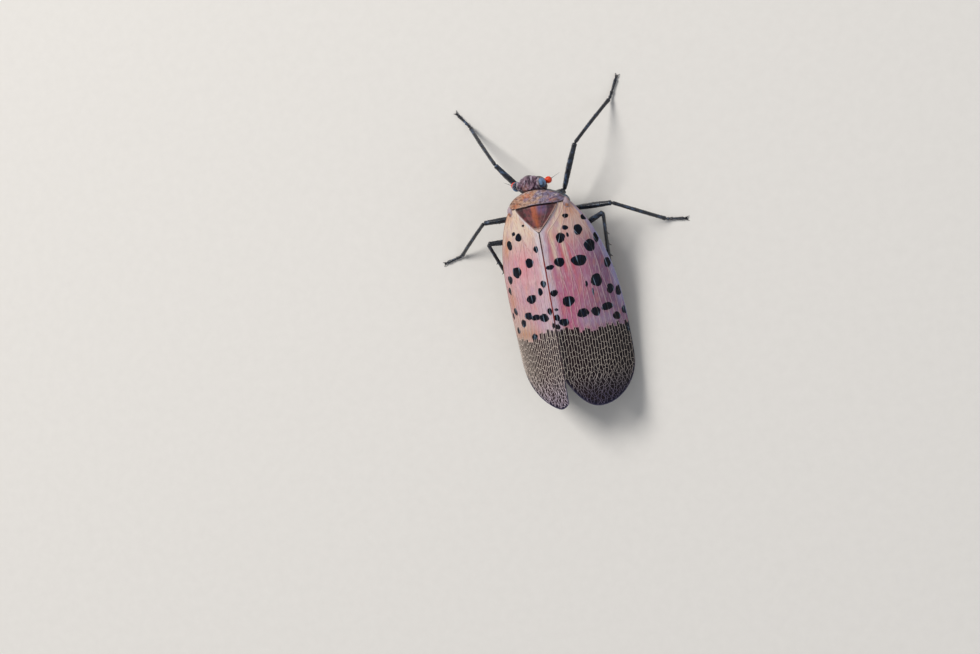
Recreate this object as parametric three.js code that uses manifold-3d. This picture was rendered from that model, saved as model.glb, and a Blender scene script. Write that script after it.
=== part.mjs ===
// A life-size spotted lanternfly at rest, standing on its six feet with its wings folded.
// Units are millimetres, +Z is up, the head points to -Y and the insect's right side is -X.
// Body places are given as right (r), forward (f) and up (h) from the tip of the scutellum,
// in a body frame that is pitched a little head up. Feet are given on the floor.

import * as THREE from "three";
import { mergeVertices } from "three/addons/utils/BufferGeometryUtils.js";
import Module from "manifold-3d";

const wasm = await Module();
wasm.setup();

// How the body is carried
const BODY_PITCH = THREE.MathUtils.degToRad(3.43);
const RIDGE_HEIGHT = 8.1;
const BODY_X = 0.12;
const BODY_Y = -1.7;

// Gap left between pieces that meet
const SEAM = 0.05;

// Folded wings: half width and drop of the roof, as [distance behind the scutellum tip, size]
const ROOF_HALF_WIDTH = [
  [-2.9, 3.45],
  [-0.7, 4.72],
  [2.4, 5.72],
  [6, 6.24],
  [11, 6.38],
  [20, 6.2],
];
const ROOF_DROP = [
  [-2.9, 1.6],
  [-0.7, 2.5],
  [2.4, 3.5],
  [6, 4.75],
  [11, 5.75],
  [20, 6.3],
];
const RIDGE_STRAIGHT = 0.47;
const RIDGE_BEND = 4;
const WING_THICKNESS = 0.5;
const WING_GAP = 0.12;
const WING_ROOT = -2.85;
const EDGE_CROWDING = 0.7;
const WINGS = {
  right: {
    apex: 19.2,
    apexAcross: 0.5,
    innerFall: 3.3,
    innerPower: 2,
    outerFall: 4.8,
    outerPower: 2.2,
  },
  left: {
    apex: 18.95,
    apexAcross: 0.17,
    innerFall: 0.5,
    innerPower: 2,
    outerFall: 5.2,
    outerPower: 1.4,
  },
};

// Thorax plates
const PRONOTUM = { halfWidth: 3.12, front: 4.6, hind: 3, thickness: 0.45 };
const SCUTELLUM = { halfWidth: 2.4, length: 3, tip: 0.06, thickness: 0.5 };
const TEGULA = { r: 3.1, f: 2.72, h: -1.25, radii: [0.42, 0.6, 0.4] };

// Head, carried a touch to the insect's left
const HEAD_SHIFT = -0.4;
const EYE = { r: 1.42, f: 5.25, h: -0.75, radii: [0.46, 0.5, 0.54] };
const PEDICEL = { r: 1.93, f: 5.42, h: -1.7, radii: [0.38, 0.38, 0.38] };
const FLAGELLUM = { radius: 0.25, root: [0.2, 0.1, -0.02], end: [1.25, 0.55, -0.25] };

// Head capsule, as [level, size] from the crown at level 0 to the clypeus at level 1
const HEAD = {
  halfWidth: [
    [0, 0.7],
    [0.12, 1.0],
    [0.35, 1.2],
    [0.6, 1.22],
    [0.78, 1.0],
    [0.9, 0.6],
    [1, 0.36],
  ],
  front: [
    [0, 5.8],
    [0.12, 6.12],
    [0.4, 6.08],
    [0.75, 5.65],
    [1, 4.95],
  ],
  back: [
    [0, 4.75],
    [0.2, 4.35],
    [0.6, 4.25],
    [1, 4.2],
  ],
  top: -0.5,
  bottom: -4.75,
  crownTilt: 0.12,
};

// The small upturned process in front of the crown, and the rostrum under the body,
// each as [right, forward, up] places along its middle and its radius at both ends
const PROCESS = {
  run: [
    [HEAD_SHIFT, 5.6, -0.95],
    [HEAD_SHIFT, 6.15, -0.75],
    [HEAD_SHIFT, 6.1, -0.3],
  ],
  radii: [0.48, 0.22],
};
const ROSTRUM = {
  run: [
    [HEAD_SHIFT, 4.7, -5.0],
    [-0.1, 3.3, -5.75],
    [0, -2.2, -5.65],
  ],
  radii: [0.32, 0.25],
};

// Trunk: where the middle lies and half its width, length and height
const THORAX = { f: 0.95, h: -2.95, half: [2.95, 3.75, 2.2], squareness: 0.6 };
const ABDOMEN = { f: -7.9, h: -3.78, half: [2.85, 6.1, 1.85], segments: 8, step: 0.04, sag: 0.4 };

// Legs: hip and knee in the body frame, then the ankle and toe above the floor.
// Where the photo hides a leg, it mirrors the other side.
const LEGS = {
  fore_right: {
    hip: [1.35, 3.5, -4.2],
    trochanter: [2.05, 4.1, -5.0],
    knee: [4.52, 8.86, -3.8],
    ankle: [7.75, 12.95, 0.42],
    toe: [8.8, 15.1],
    bow: 0.35,
  },
  fore_left: {
    hip: [-1.35, 3.5, -4.2],
    trochanter: [-2.05, 4.1, -5.0],
    knee: [-4.81, 8.06, -3.8],
    ankle: [-8.45, 12.7, 0.42],
    toe: [-9.8, 14.4],
    bow: 0.35,
  },
  middle_right: {
    hip: [1.7, 1.6, -4.3],
    trochanter: [2.5, 2.0, -5.0],
    knee: [7.4, 1.85, -3.9],
    ankle: [11.95, -0.85, 0.42],
    toe: [13.95, -1.15],
    bow: 0.3,
  },
  middle_left: {
    hip: [-1.7, 1.6, -4.3],
    trochanter: [-2.5, 2.0, -5.0],
    knee: [-7.3, 2.05, -3.95],
    ankle: [-11.7, -1.0, 0.42],
    toe: [-13.7, -1.5],
    bow: 0.3,
  },
  hind_right: {
    hip: [1.6, -0.6, -4.2],
    trochanter: [2.4, -0.5, -4.9],
    knee: [6.5, 1.0, -3.0],
    ankle: [4.95, -6.35, 0.42],
    toe: [4.85, -8.45],
    bow: 0.2,
  },
  hind_left: {
    hip: [-1.6, -0.6, -4.2],
    trochanter: [-2.4, -0.5, -4.9],
    knee: [-6.9, -0.25, -3.0],
    ankle: [-5.3, -7.4, 0.42],
    toe: [-5.3, -9.5],
    bow: 0.2,
  },
};
const COXA_RADIUS = 0.62;
const FEMUR_RADIUS = 0.36;
const TIBIA_RADIUS = 0.26;
const TARSUS_RADIUS = 0.26;
const TARSUS_CENTRE_HEIGHT = 0.2;

// Colours and finishes, one material for each kind of surface
const FINISHES = {
  wing: { color: 0xd9b0ac, roughness: 0.6 },
  hindwing: { color: 0xb3231e, roughness: 0.6 },
  plate: { color: 0xb08a7c, roughness: 0.6 },
  scutellum: { color: 0x6e3533, roughness: 0.55 },
  head: { color: 0x6f6168, roughness: 0.7 },
  eye: { color: 0x39475c, roughness: 0.25 },
  antenna: { color: 0xe8431d, roughness: 0.5 },
  thorax: { color: 0x24262c, roughness: 0.65 },
  abdomen: { color: 0xc9a13b, roughness: 0.6 },
  leg: { color: 0x14171f, roughness: 0.35 },
};

const part = new THREE.Group();
const solids = {};

// Shared mathematics

function clamp01(value) {
  return Math.min(1, Math.max(0, value));
}

function smooth(value) {
  const t = clamp01(value);
  return t * t * (3 - 2 * t);
}

// A smooth curve through stations [place, size], level at its two ends.
function through(stations, place) {
  const last = stations.length - 1;
  let i = 0;
  while (i < last - 1 && place > stations[i + 1][0]) i += 1;
  const [x0, y0] = stations[i];
  const [x1, y1] = stations[i + 1];
  const span = x1 - x0;
  const t = clamp01((place - x0) / span);
  const slopeAt = (k) => {
    if (k === last) return 0;
    const a = stations[Math.max(k - 1, 0)];
    const b = stations[k + 1];
    return (b[1] - a[1]) / (b[0] - a[0]);
  };
  const m0 = slopeAt(i) * span;
  const m1 = slopeAt(i + 1) * span;
  const t2 = t * t;
  const t3 = t2 * t;
  return (
    (2 * t3 - 3 * t2 + 1) * y0 + (t3 - 2 * t2 + t) * m0 + (3 * t2 - 2 * t3) * y1 + (t3 - t2) * m1
  );
}

// Body frame to the part's own frame.
function inPart(r, f, h) {
  const sin = Math.sin(BODY_PITCH);
  const cos = Math.cos(BODY_PITCH);
  return new THREE.Vector3(
    BODY_X - r,
    BODY_Y - f * cos + h * sin,
    RIDGE_HEIGHT + f * sin + h * cos,
  );
}

// A place given by right and forward in the body frame, and a height above the floor.
function onFloor(r, f, z) {
  const h = (z - RIDGE_HEIGHT - f * Math.sin(BODY_PITCH)) / Math.cos(BODY_PITCH);
  return inPart(r, f, h);
}

// Geometry helpers

// Moves every vertex of a shape and joins its seams.
function shaped(geometry, place) {
  geometry.deleteAttribute("normal");
  geometry.deleteAttribute("uv");
  const position = geometry.getAttribute("position");
  const point = new THREE.Vector3();
  for (let i = 0; i < position.count; i += 1) {
    point.fromBufferAttribute(position, i);
    const to = place(point);
    position.setXYZ(i, to.x, to.y, to.z);
  }
  return mergeVertices(geometry, 1e-4);
}

// A closed solid from a geometry, turned right side out.
function solidOf(geometry) {
  const position = geometry.getAttribute("position").array;
  const triangles = new Uint32Array(geometry.index.array);
  const make = () =>
    new wasm.Manifold(
      new wasm.Mesh({ numProp: 3, vertProperties: new Float32Array(position), triVerts: triangles }),
    );
  const first = make();
  if (first.volume() > 0) return first;
  for (let i = 0; i < triangles.length; i += 3) {
    const swap = triangles[i + 1];
    triangles[i + 1] = triangles[i + 2];
    triangles[i + 2] = swap;
  }
  return make();
}

// The geometry of a solid's surface.
function geometryOf(solid) {
  const mesh = solid.getMesh();
  const positions = new Float32Array(mesh.numVert * 3);
  for (let i = 0; i < mesh.numVert; i += 1) {
    for (let k = 0; k < 3; k += 1) positions[i * 3 + k] = mesh.vertProperties[i * mesh.numProp + k];
  }
  const geometry = new THREE.BufferGeometry();
  geometry.setAttribute("position", new THREE.BufferAttribute(positions, 3));
  geometry.setIndex(new THREE.BufferAttribute(new Uint32Array(mesh.triVerts), 1));
  return geometry;
}

// The same solid, fatter all over by the seam between neighbours.
function grown(solid, by = SEAM) {
  const geometry = geometryOf(solid);
  geometry.computeVertexNormals();
  const position = geometry.getAttribute("position");
  const normal = geometry.getAttribute("normal");
  for (let i = 0; i < position.count; i += 1) {
    position.setXYZ(
      i,
      position.getX(i) + normal.getX(i) * by,
      position.getY(i) + normal.getY(i) * by,
      position.getZ(i) + normal.getZ(i) * by,
    );
  }
  return solidOf(geometry);
}

// Takes room for its neighbours out of a solid, and keeps the main body of what is left.
function clearOf(solid, neighbours) {
  let left = solid;
  for (const name of neighbours) left = left.subtract(grown(solids[name]));
  const bodies = left.decompose();
  bodies.sort((a, b) => b.volume() - a.volume());
  return bodies[0];
}

// Keeps a solid under its name and adds it to the part as a node.
function add(name, solid, finish) {
  solids[name] = solid;
  const material = new THREE.MeshStandardMaterial({ metalness: 0, ...FINISHES[finish] });
  const geometry = geometryOf(solid);
  geometry.computeVertexNormals();
  const mesh = new THREE.Mesh(geometry, material);
  mesh.name = name;
  part.add(mesh);
}

// An ellipsoid in the body frame.
function ellipsoid(r, f, h, radii, around, down) {
  return solidOf(
    shaped(new THREE.SphereGeometry(1, around, down), (p) =>
      inPart(r + p.x * radii[0], f + p.y * radii[1], h + p.z * radii[2]),
    ),
  );
}

// A curve through the first and last of three places in the body frame, bent to the middle one.
function bentRun(places) {
  return new THREE.QuadraticBezierCurve3(...places.map((place) => inPart(...place)));
}

// A radius that changes evenly from one end of a limb to the other.
function tapered([start, end]) {
  return (t) => start + (end - start) * t;
}

// A limb of round section along a curve. radiusAt gives its radius along the curve.
function limb(curve, radiusAt, sides = 7) {
  const stops = [0, 0.03, 0.25, 0.5, 0.75, 0.97, 1];
  const tube = new THREE.CylinderGeometry(1, 1, stops.length - 1, sides, stops.length - 1);
  const side = new THREE.Vector3();
  const other = new THREE.Vector3();
  const upright = new THREE.Vector3(0, 0, 1);
  return solidOf(
    shaped(tube, (p) => {
      const t = stops[Math.round(p.y + (stops.length - 1) / 2)];
      const along = curve.getTangentAt(t);
      side.crossVectors(along, upright).normalize();
      other.crossVectors(side, along);
      const radius = radiusAt(t);
      return curve
        .getPointAt(t)
        .addScaledVector(side, p.x * radius)
        .addScaledVector(other, p.z * radius);
    }),
  );
}

// Radius of a limb that swells in the middle and is rounded off at both ends.
function spindle(radius, startShare, endShare) {
  return (t) => {
    const round = Math.sqrt(clamp01(1 - Math.pow(Math.abs(2 * t - 1), 14) * 0.75));
    const swell = Math.sin(Math.PI * clamp01(0.12 + 0.76 * t));
    const ends = startShare + (endShare - startShare) * t;
    return radius * round * (ends + (1 - ends) * swell);
  };
}

// Wings

// Depth of the roof's profile, from 0 at the ridge to 1 at the costal edge.
function roofProfile(across) {
  return RIDGE_STRAIGHT * across + (1 - RIDGE_STRAIGHT) * Math.pow(Math.abs(across), RIDGE_BEND);
}

// Half width of the scutellum, which the inner wing edges run along.
function scutellumHalfWidth(f) {
  const t = clamp01(f / SCUTELLUM.length);
  return SCUTELLUM.halfWidth * (1 - Math.pow(1 - t, 1.25));
}

// How far behind the scutellum tip the wing ends, for a place across it.
function wingEnd(wing, across) {
  if (across < wing.apexAcross) {
    const q = (wing.apexAcross - across) / wing.apexAcross;
    return wing.apex - wing.innerFall * Math.pow(q, wing.innerPower);
  }
  const q = (across - wing.apexAcross) / (1 - wing.apexAcross);
  const arc = Math.pow(clamp01(1 - Math.pow(q, wing.outerPower)), 1 / wing.outerPower);
  return wing.apex - wing.outerFall * (1 - arc);
}

// A point of the folded wing: s behind the scutellum tip, across from the ridge, and its depth
// under the outer surface. The wall at the inner edge stays upright.
function roofPoint(side, s, across, depth, fromInner) {
  const width = through(ROOF_HALF_WIDTH, s);
  const drop = through(ROOF_DROP, s);
  const slope = RIDGE_STRAIGHT + (1 - RIDGE_STRAIGHT) * RIDGE_BEND * Math.pow(across, RIDGE_BEND - 1);
  const normal = new THREE.Vector2(drop * slope, width).normalize();
  const lean = smooth(fromInner / 0.15);
  const r = width * across - normal.x * depth * lean;
  const h = -drop * roofProfile(across) - normal.y * depth;
  return inPart(side * r, -s, h);
}

// A slab that follows the roof, between two depths, shortened and narrowed by the given shares.
function wingSlab(side, wing, size) {
  const grid = new THREE.BoxGeometry(1, 1, 1, size.steps, size.columns, 1);
  return solidOf(
    shaped(grid, (p) => {
      const even = p.y + 0.5;
      const column = even - (EDGE_CROWDING * Math.sin(2 * Math.PI * even)) / (2 * Math.PI);
      const end = wingEnd(wing, column) - size.shorter;
      const s = size.root + (end - size.root) * (p.x + 0.5);
      const width = through(ROOF_HALF_WIDTH, s);
      const inner = (scutellumHalfWidth(-s) + SEAM / 2 + size.inset) / width;
      const across = inner + (size.outer - inner) * column;
      const depth = size.top + (0.5 - p.z) * size.thickness;
      return roofPoint(side, s, across, depth, across - inner);
    }),
  );
}

function makeWings() {
  for (const [name, wing] of Object.entries(WINGS)) {
    const side = name === "right" ? 1 : -1;
    const fore = {
      root: WING_ROOT,
      shorter: 0,
      inset: 0,
      outer: 1,
      top: 0,
      thickness: WING_THICKNESS,
      steps: 20,
      columns: 9,
    };
    const hind = {
      root: 0.3,
      shorter: 2.6,
      inset: 0.25,
      outer: 0.84,
      top: WING_THICKNESS + WING_GAP,
      thickness: WING_THICKNESS,
      steps: 12,
      columns: 6,
    };
    add("forewing_" + name, wingSlab(side, wing, fore), "wing");
    add("hindwing_" + name, wingSlab(side, wing, hind), "hindwing");
  }
}

// Thorax plates

// Height of the pronotum's upper side.
function pronotumTop(r, f) {
  const forward = (f - PRONOTUM.hind) / (PRONOTUM.front - PRONOTUM.hind);
  return 0.08 - 0.12 * r * r - 0.32 * forward * forward;
}

// The pronotum's hind edge.
function pronotumHind(r) {
  return PRONOTUM.hind - 0.05 * Math.abs(r);
}

function makePronotum() {
  const grid = new THREE.BoxGeometry(2, 1, 1, 14, 4, 1);
  const solid = solidOf(
    shaped(grid, (p) => {
      const r = PRONOTUM.halfWidth * Math.sin((p.x * Math.PI) / 2);
      const taper = Math.abs(p.x);
      const front = PRONOTUM.front - 0.1 * r * r - 0.25 * Math.pow(taper, 8);
      const hind = pronotumHind(r) + 0.22 * Math.pow(taper, 8);
      const f = hind + (front - hind) * (p.y + 0.5);
      return inPart(r, f, pronotumTop(r, f) - (0.5 - p.z) * PRONOTUM.thickness);
    }),
  );
  add("pronotum", solid, "plate");
}

function makeScutellum() {
  const tip = SCUTELLUM.tip;
  const grid = new THREE.BoxGeometry(2, 1, 1, 8, 6, 1);
  const solid = solidOf(
    shaped(grid, (p) => {
      const along = p.y + 0.5;
      const r = scutellumHalfWidth(tip + (SCUTELLUM.length - tip) * along) * p.x;
      const f = tip + (pronotumHind(r) - SEAM - tip) * along;
      const crown = 0.1 + 0.06 * Math.sin(Math.PI * along);
      const top = crown * along - 0.11 * r * r;
      return inPart(r, f, top - (0.5 - p.z) * SCUTELLUM.thickness);
    }),
  );
  add("scutellum", clearOf(solid, ["forewing_left", "forewing_right"]), "scutellum");
}

// Head and what it carries

function makeEyes(side, name) {
  const eye = ellipsoid(HEAD_SHIFT + side * EYE.r, EYE.f, EYE.h, EYE.radii, 12, 8);
  add("eye_" + name, eye, "eye");
}

function makeAntenna(side, name) {
  const r = HEAD_SHIFT + side * PEDICEL.r;
  const pedicel = ellipsoid(r, PEDICEL.f, PEDICEL.h, PEDICEL.radii, 12, 8);
  const onPedicel = ([outward, forward, up]) =>
    inPart(r + side * outward, PEDICEL.f + forward, PEDICEL.h + up);
  const run = new THREE.LineCurve3(onPedicel(FLAGELLUM.root), onPedicel(FLAGELLUM.end));
  const flagellum = limb(run, () => FLAGELLUM.radius);
  add("antenna_" + name, clearOf(pedicel.add(flagellum), ["eye_" + name]), "antenna");
}

// The head capsule with its upturned process.
function makeHead() {
  const capsule = solidOf(
    shaped(new THREE.CylinderGeometry(1, 1, 1, 16, 10), (p) => {
      const level = 0.5 - p.y;
      const wide = through(HEAD.halfWidth, level);
      const back = through(HEAD.back, level);
      const front = through(HEAD.front, level);
      const tilt = level < 0.06 ? HEAD.crownTilt * p.z : 0;
      return inPart(
        HEAD_SHIFT + p.x * wide,
        (back + front) / 2 + (p.z * (front - back)) / 2,
        HEAD.top + (HEAD.bottom - HEAD.top) * level - tilt,
      );
    }),
  );
  const solid = capsule.add(limb(bentRun(PROCESS.run), tapered(PROCESS.radii)));
  const around = ["pronotum", "eye_left", "eye_right", "antenna_left", "antenna_right"];
  add("head", clearOf(solid, around), "head");
}

function makeRostrum() {
  const rostrum = limb(bentRun(ROSTRUM.run), tapered(ROSTRUM.radii));
  add("rostrum", clearOf(rostrum, ["head"]), "thorax");
}

// Trunk

// The abdomen, blunt in front and drawn out behind, with a small step at each segment.
function makeAbdomen() {
  const [halfWidth, halfLength, halfHeight] = ABDOMEN.half;
  const solid = solidOf(
    shaped(new THREE.SphereGeometry(1, 20, 20), (p) => {
      const along = (1 - p.y) / 2;
      const blunt = Math.sqrt(1 - Math.pow(1 - along, 6));
      const taper = Math.pow(Math.max(0, 1 - Math.pow(along, 2.4)), 0.62);
      const ring = 1 - ABDOMEN.step * Math.pow((along * ABDOMEN.segments) % 1, 3);
      const reach = (blunt * taper * ring) / Math.max(1e-6, Math.hypot(p.x, p.z));
      const r = p.x * reach * halfWidth;
      const h = p.z * reach * halfHeight;
      return inPart(r, ABDOMEN.f + p.y * halfLength, ABDOMEN.h + h + ABDOMEN.sag * along * along);
    }),
  );
  add("abdomen", clearOf(solid, ["hindwing_left", "hindwing_right"]), "abdomen");
}

// The thorax, between a ball and a box.
function makeThorax() {
  const [halfWidth, halfLength, halfHeight] = THORAX.half;
  const block = solidOf(
    shaped(new THREE.SphereGeometry(1, 18, 14), (p) => {
      const square = 1 / Math.pow(Math.pow(Math.abs(p.x), 3) + Math.pow(Math.abs(p.z), 3) + 1e-9, 1 / 3);
      const round = Math.hypot(p.x, p.z) * square;
      const fill = 1 + (Math.min(round, 1.2) - 1) * THORAX.squareness;
      return inPart(
        p.x * halfWidth * fill,
        THORAX.f + p.y * halfLength,
        THORAX.h + p.z * halfHeight * fill,
      );
    }),
  );
  const around = [
    "pronotum",
    "scutellum",
    "forewing_left",
    "forewing_right",
    "hindwing_left",
    "hindwing_right",
    "abdomen",
    "head",
    "rostrum",
  ];
  add("thorax", clearOf(block, around), "thorax");
}

function makeTegula(side, name) {
  const scale = ellipsoid(side * TEGULA.r, TEGULA.f, TEGULA.h, TEGULA.radii, 10, 6);
  const around = ["pronotum", "thorax", "forewing_" + name];
  add("tegula_" + name, clearOf(scale, around), "plate");
}

// Legs

// A curve between two places whose middle is lifted a little.
function bowed(from, to, rise) {
  const middle = from.clone().add(to).multiplyScalar(0.5);
  middle.z += rise;
  return new THREE.QuadraticBezierCurve3(from, middle, to);
}

function makeLeg(name, leg) {
  const hip = inPart(...leg.hip);
  const trochanter = inPart(...leg.trochanter);
  const knee = inPart(...leg.knee);
  const ankle = onFloor(...leg.ankle);
  const toe = onFloor(leg.toe[0], leg.toe[1], TARSUS_CENTRE_HEIGHT);
  const coxa = limb(new THREE.LineCurve3(hip, trochanter), spindle(COXA_RADIUS, 1, 0.55));
  const femur = limb(bowed(trochanter, knee, leg.bow), spindle(FEMUR_RADIUS, 0.75, 0.8));
  const tibia = limb(bowed(knee, ankle, leg.bow), spindle(TIBIA_RADIUS, 1, 0.96));
  const heel = ankle.clone().lerp(toe, 0.12);
  heel.z = TARSUS_CENTRE_HEIGHT + 0.05;
  const sole = new THREE.QuadraticBezierCurve3(ankle, heel, toe);
  const foot = limb(sole, spindle(TARSUS_RADIUS, 1, 1));
  const ground = solidOf(
    shaped(new THREE.BoxGeometry(60, 60, 2), (p) => new THREE.Vector3(p.x, p.y, p.z - 1)),
  );
  add("coxa_" + name, clearOf(coxa, ["thorax", "rostrum"]), "leg");
  add("femur_" + name, clearOf(femur, ["coxa_" + name, "thorax"]), "leg");
  add("tibia_" + name, clearOf(tibia, ["femur_" + name]), "leg");
  add("tarsus_" + name, clearOf(foot.subtract(ground), ["tibia_" + name]), "leg");
}

makeWings();
makePronotum();
makeScutellum();
for (const [side, name] of [
  [1, "right"],
  [-1, "left"],
]) {
  makeEyes(side, name);
  makeAntenna(side, name);
}
makeHead();
makeRostrum();
makeAbdomen();
makeThorax();
makeTegula(1, "right");
makeTegula(-1, "left");
for (const [name, leg] of Object.entries(LEGS)) makeLeg(name, leg);

export default part;
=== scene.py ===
# %% [markdown]
# # A spotted lanternfly at rest
# The imported solids give the insect its places and sizes. This lesson builds its looks round them:
# thin veined wings, a keeled thorax, a small head with red feelers, and long black legs.
# The frame is loaded first, because every piece is placed by it.

# %% Load the frame
import math

import bpy
import numpy as np
from mathutils import Matrix, Vector


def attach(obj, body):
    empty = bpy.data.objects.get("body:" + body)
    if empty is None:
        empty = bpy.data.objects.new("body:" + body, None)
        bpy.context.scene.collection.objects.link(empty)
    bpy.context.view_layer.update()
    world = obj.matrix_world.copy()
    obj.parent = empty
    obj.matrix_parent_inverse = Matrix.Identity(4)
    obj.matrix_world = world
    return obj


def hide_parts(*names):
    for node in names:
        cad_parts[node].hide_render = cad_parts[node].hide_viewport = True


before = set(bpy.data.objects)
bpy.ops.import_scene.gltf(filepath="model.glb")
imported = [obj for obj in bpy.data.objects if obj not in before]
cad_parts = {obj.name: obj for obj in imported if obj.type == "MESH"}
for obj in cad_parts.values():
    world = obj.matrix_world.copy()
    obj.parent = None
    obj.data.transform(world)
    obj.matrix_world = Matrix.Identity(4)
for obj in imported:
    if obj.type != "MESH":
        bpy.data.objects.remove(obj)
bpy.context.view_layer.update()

# %% [markdown]
# An insect is easiest to describe in its own directions: to its right, forward and upward, all from
# the tip of the small shield between its wings. The body noses up a few degrees, so one function
# turns such a place into the row frame, and another one turns it back.

# %% The insect's own directions
MM = 0.001
BODY_PITCH = math.radians(3.43)
RIDGE_HEIGHT = 8.1
BODY_X = 0.12
BODY_Y = -1.7
PITCH_COS = math.cos(BODY_PITCH)
PITCH_SIN = math.sin(BODY_PITCH)
UP = np.array([0, 0, 1.0])


def stacked(*values):
    """Arrays side by side as the columns of places or colours."""
    return np.stack(np.broadcast_arrays(*values), axis=-1)


def in_row(right, forward, height):
    """Row frame places, in metres, of places in the insect's directions, in millimetres."""
    y = BODY_Y - forward * PITCH_COS + height * PITCH_SIN
    z = RIDGE_HEIGHT + forward * PITCH_SIN + height * PITCH_COS
    return stacked(BODY_X - right, y, z) * MM


def on_floor(right, forward, above):
    """A row frame place whose height is counted from the floor."""
    height = (above - RIDGE_HEIGHT - forward * PITCH_SIN) / PITCH_COS
    return in_row(right, forward, height)


def in_insect(places):
    """The insect's right, forward and height, in millimetres, of row frame places."""
    places = np.asarray(places) / MM
    back = BODY_Y - places[..., 1]
    up = places[..., 2] - RIDGE_HEIGHT
    return BODY_X - places[..., 0], back * PITCH_COS + up * PITCH_SIN, up * PITCH_COS - back * PITCH_SIN


print("the shield's tip is at", in_row(0, 0, 0))

# %% [markdown]
# Three small tools shape nearly everything. One eases between two values, one draws a smooth line
# through a few stations, and one gives repeatable random waves that roughen a surface.

# %% Easing, stations and waves
def eased(off, on, value):
    """An even ease from 0 at one value to 1 at another, which may be the smaller."""
    share = np.clip((np.asarray(value, dtype=float) - off) / (on - off), 0, 1)
    return share * share * (3 - 2 * share)


def bump_at(value, centre, width):
    """A soft hill of height 1 at the centre."""
    return np.exp(-(((np.asarray(value, dtype=float) - centre) / width) ** 2))


def ridge(distance, width):
    """The section of a fine keel."""
    return np.exp(-np.abs(distance / width) ** 1.6)


def through(stations, place):
    """A smooth curve through (place, value) stations."""
    x, y = np.array(stations, dtype=float).T
    before = np.maximum(np.arange(len(x) - 1) - 1, 0)
    after = np.arange(1, len(x))
    slope = np.zeros(len(x))
    slope[:-1] = (y[after] - y[before]) / (x[after] - x[before])
    place = np.clip(np.asarray(place, dtype=float), x[0], x[-1])
    k = np.clip(np.searchsorted(x, place, side="right") - 1, 0, len(x) - 2)
    step = x[k + 1] - x[k]
    t = (place - x[k]) / step
    start = y[k] * (1 + 2 * t) * (1 - t) ** 2 + slope[k] * step * t * (1 - t) ** 2
    end = y[k + 1] * t * t * (3 - 2 * t) + slope[k + 1] * step * t * t * (t - 1)
    return start + end


def waves(places, size, seed, count=10):
    """A smooth random field between about -1 and 1, with features of about that size."""
    chance = np.random.default_rng(seed)
    field = np.zeros(places.shape[:-1])
    for _ in range(count):
        way = chance.normal(size=places.shape[-1])
        way *= chance.uniform(0.6, 1.5) * 2 * math.pi / (size * np.linalg.norm(way))
        field += np.sin(places @ way + chance.uniform(0, 2 * math.pi))
    return field / math.sqrt(count)


print("half way through (0, 1) (1, 3) (2, 2):", round(float(through([(0, 1), (1, 3), (2, 2)], 0.5)), 3))

# %% [markdown]
# A piece is a closed mesh. Blender can build one from primitives and modifiers, but an insect's
# plates follow formulas, so grids of computed points are simpler and exact. A slab closes two grids
# with a rim, and a loft closes a row of rings with two poles. Both are turned to face outwards.

# %% Mesh builders
SHARP_EDGE = math.radians(50)
RIM_STRIP = 0.985


def placed(name, data):
    """A new object in the scene."""
    made = bpy.data.objects.new(name, data)
    bpy.context.collection.objects.link(made)
    return made


def mesh_of(name, points, edges=(), faces=()):
    """A new mesh."""
    mesh = bpy.data.meshes.new(name)
    mesh.from_pydata(np.asarray(points).reshape(-1, 3).tolist(), edges, faces)
    return mesh


def numbers_of(items, field, width, kind=float):
    """One property of many items, as an array."""
    values = np.empty(len(items) * width, dtype=kind)
    items.foreach_get(field, values)
    return values.reshape(-1, width)


def made_solid(mesh):
    """Smooths a closed mesh and turns it the right way round, by the sign of its volume."""
    mesh.calc_loop_triangles()
    corners = numbers_of(mesh.loop_triangles, "vertices", 3, np.int32)
    a, b, c = (numbers_of(mesh.vertices, "co", 3)[corners[:, k]] for k in range(3))
    if np.einsum("ij,ij->i", a, np.cross(b, c)).sum() < 0:
        mesh.flip_normals()
    mesh.polygons.foreach_set("use_smooth", [True] * len(mesh.polygons))


def mesh_piece(name, points, faces):
    """A smooth closed mesh object, facing outwards."""
    mesh = mesh_of(name, points, (), faces)
    made_solid(mesh)
    mesh.set_sharp_from_angle(angle=SHARP_EDGE)
    return placed(name, mesh)


def quads_of(index):
    """The faces of a grid of point numbers."""
    return stacked(index[:-1, :-1], index[:-1, 1:], index[1:, 1:], index[1:, :-1]).reshape(-1, 4).tolist()


def mark(piece, name, values, kind="FLOAT", field="value"):
    """A value for each point, which a material or a tree can read."""
    attribute = piece.data.attributes.new(name, kind, "POINT")
    attribute.data.foreach_set(field, np.asarray(values, dtype=np.float32).ravel())


def tint(piece, colours):
    """A colour for each point, which a material can read."""
    rgba = np.ones((len(piece.data.vertices), 4))
    rgba[:, :3] = colours
    mark(piece, "tint", rgba, "FLOAT_COLOR", "color")


def map_slab(piece, rows, columns):
    """A UV map named OFBake, with the slab's top and bottom side by side and its rim in a strip."""
    layer = piece.data.uv_layers.new(name="OFBake")
    row, column = np.divmod(np.arange(rows * columns), columns)
    top = stacked(column / (columns - 1) * 0.48 + 0.01, row / (rows - 1) * 0.96 + 0.01)
    corners = numbers_of(piece.data.loops, "vertex_index", 1, np.int32)[:, 0]
    uv = np.concatenate([top, top + [0.5, 0]])[corners]
    side_count = 2 * (rows + columns) - 4
    rim = corners[-4 * side_count:].reshape(-1, 4)
    order = rim % (rows * columns)
    around = np.arange(side_count)[:, None] + (order == order[:, :1])
    level = np.where(rim < rows * columns, RIM_STRIP, 1.0)
    uv[-4 * side_count:] = stacked(around / side_count, level).reshape(-1, 2)
    layer.data.foreach_set("uv", uv.astype(np.float32).ravel())


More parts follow.
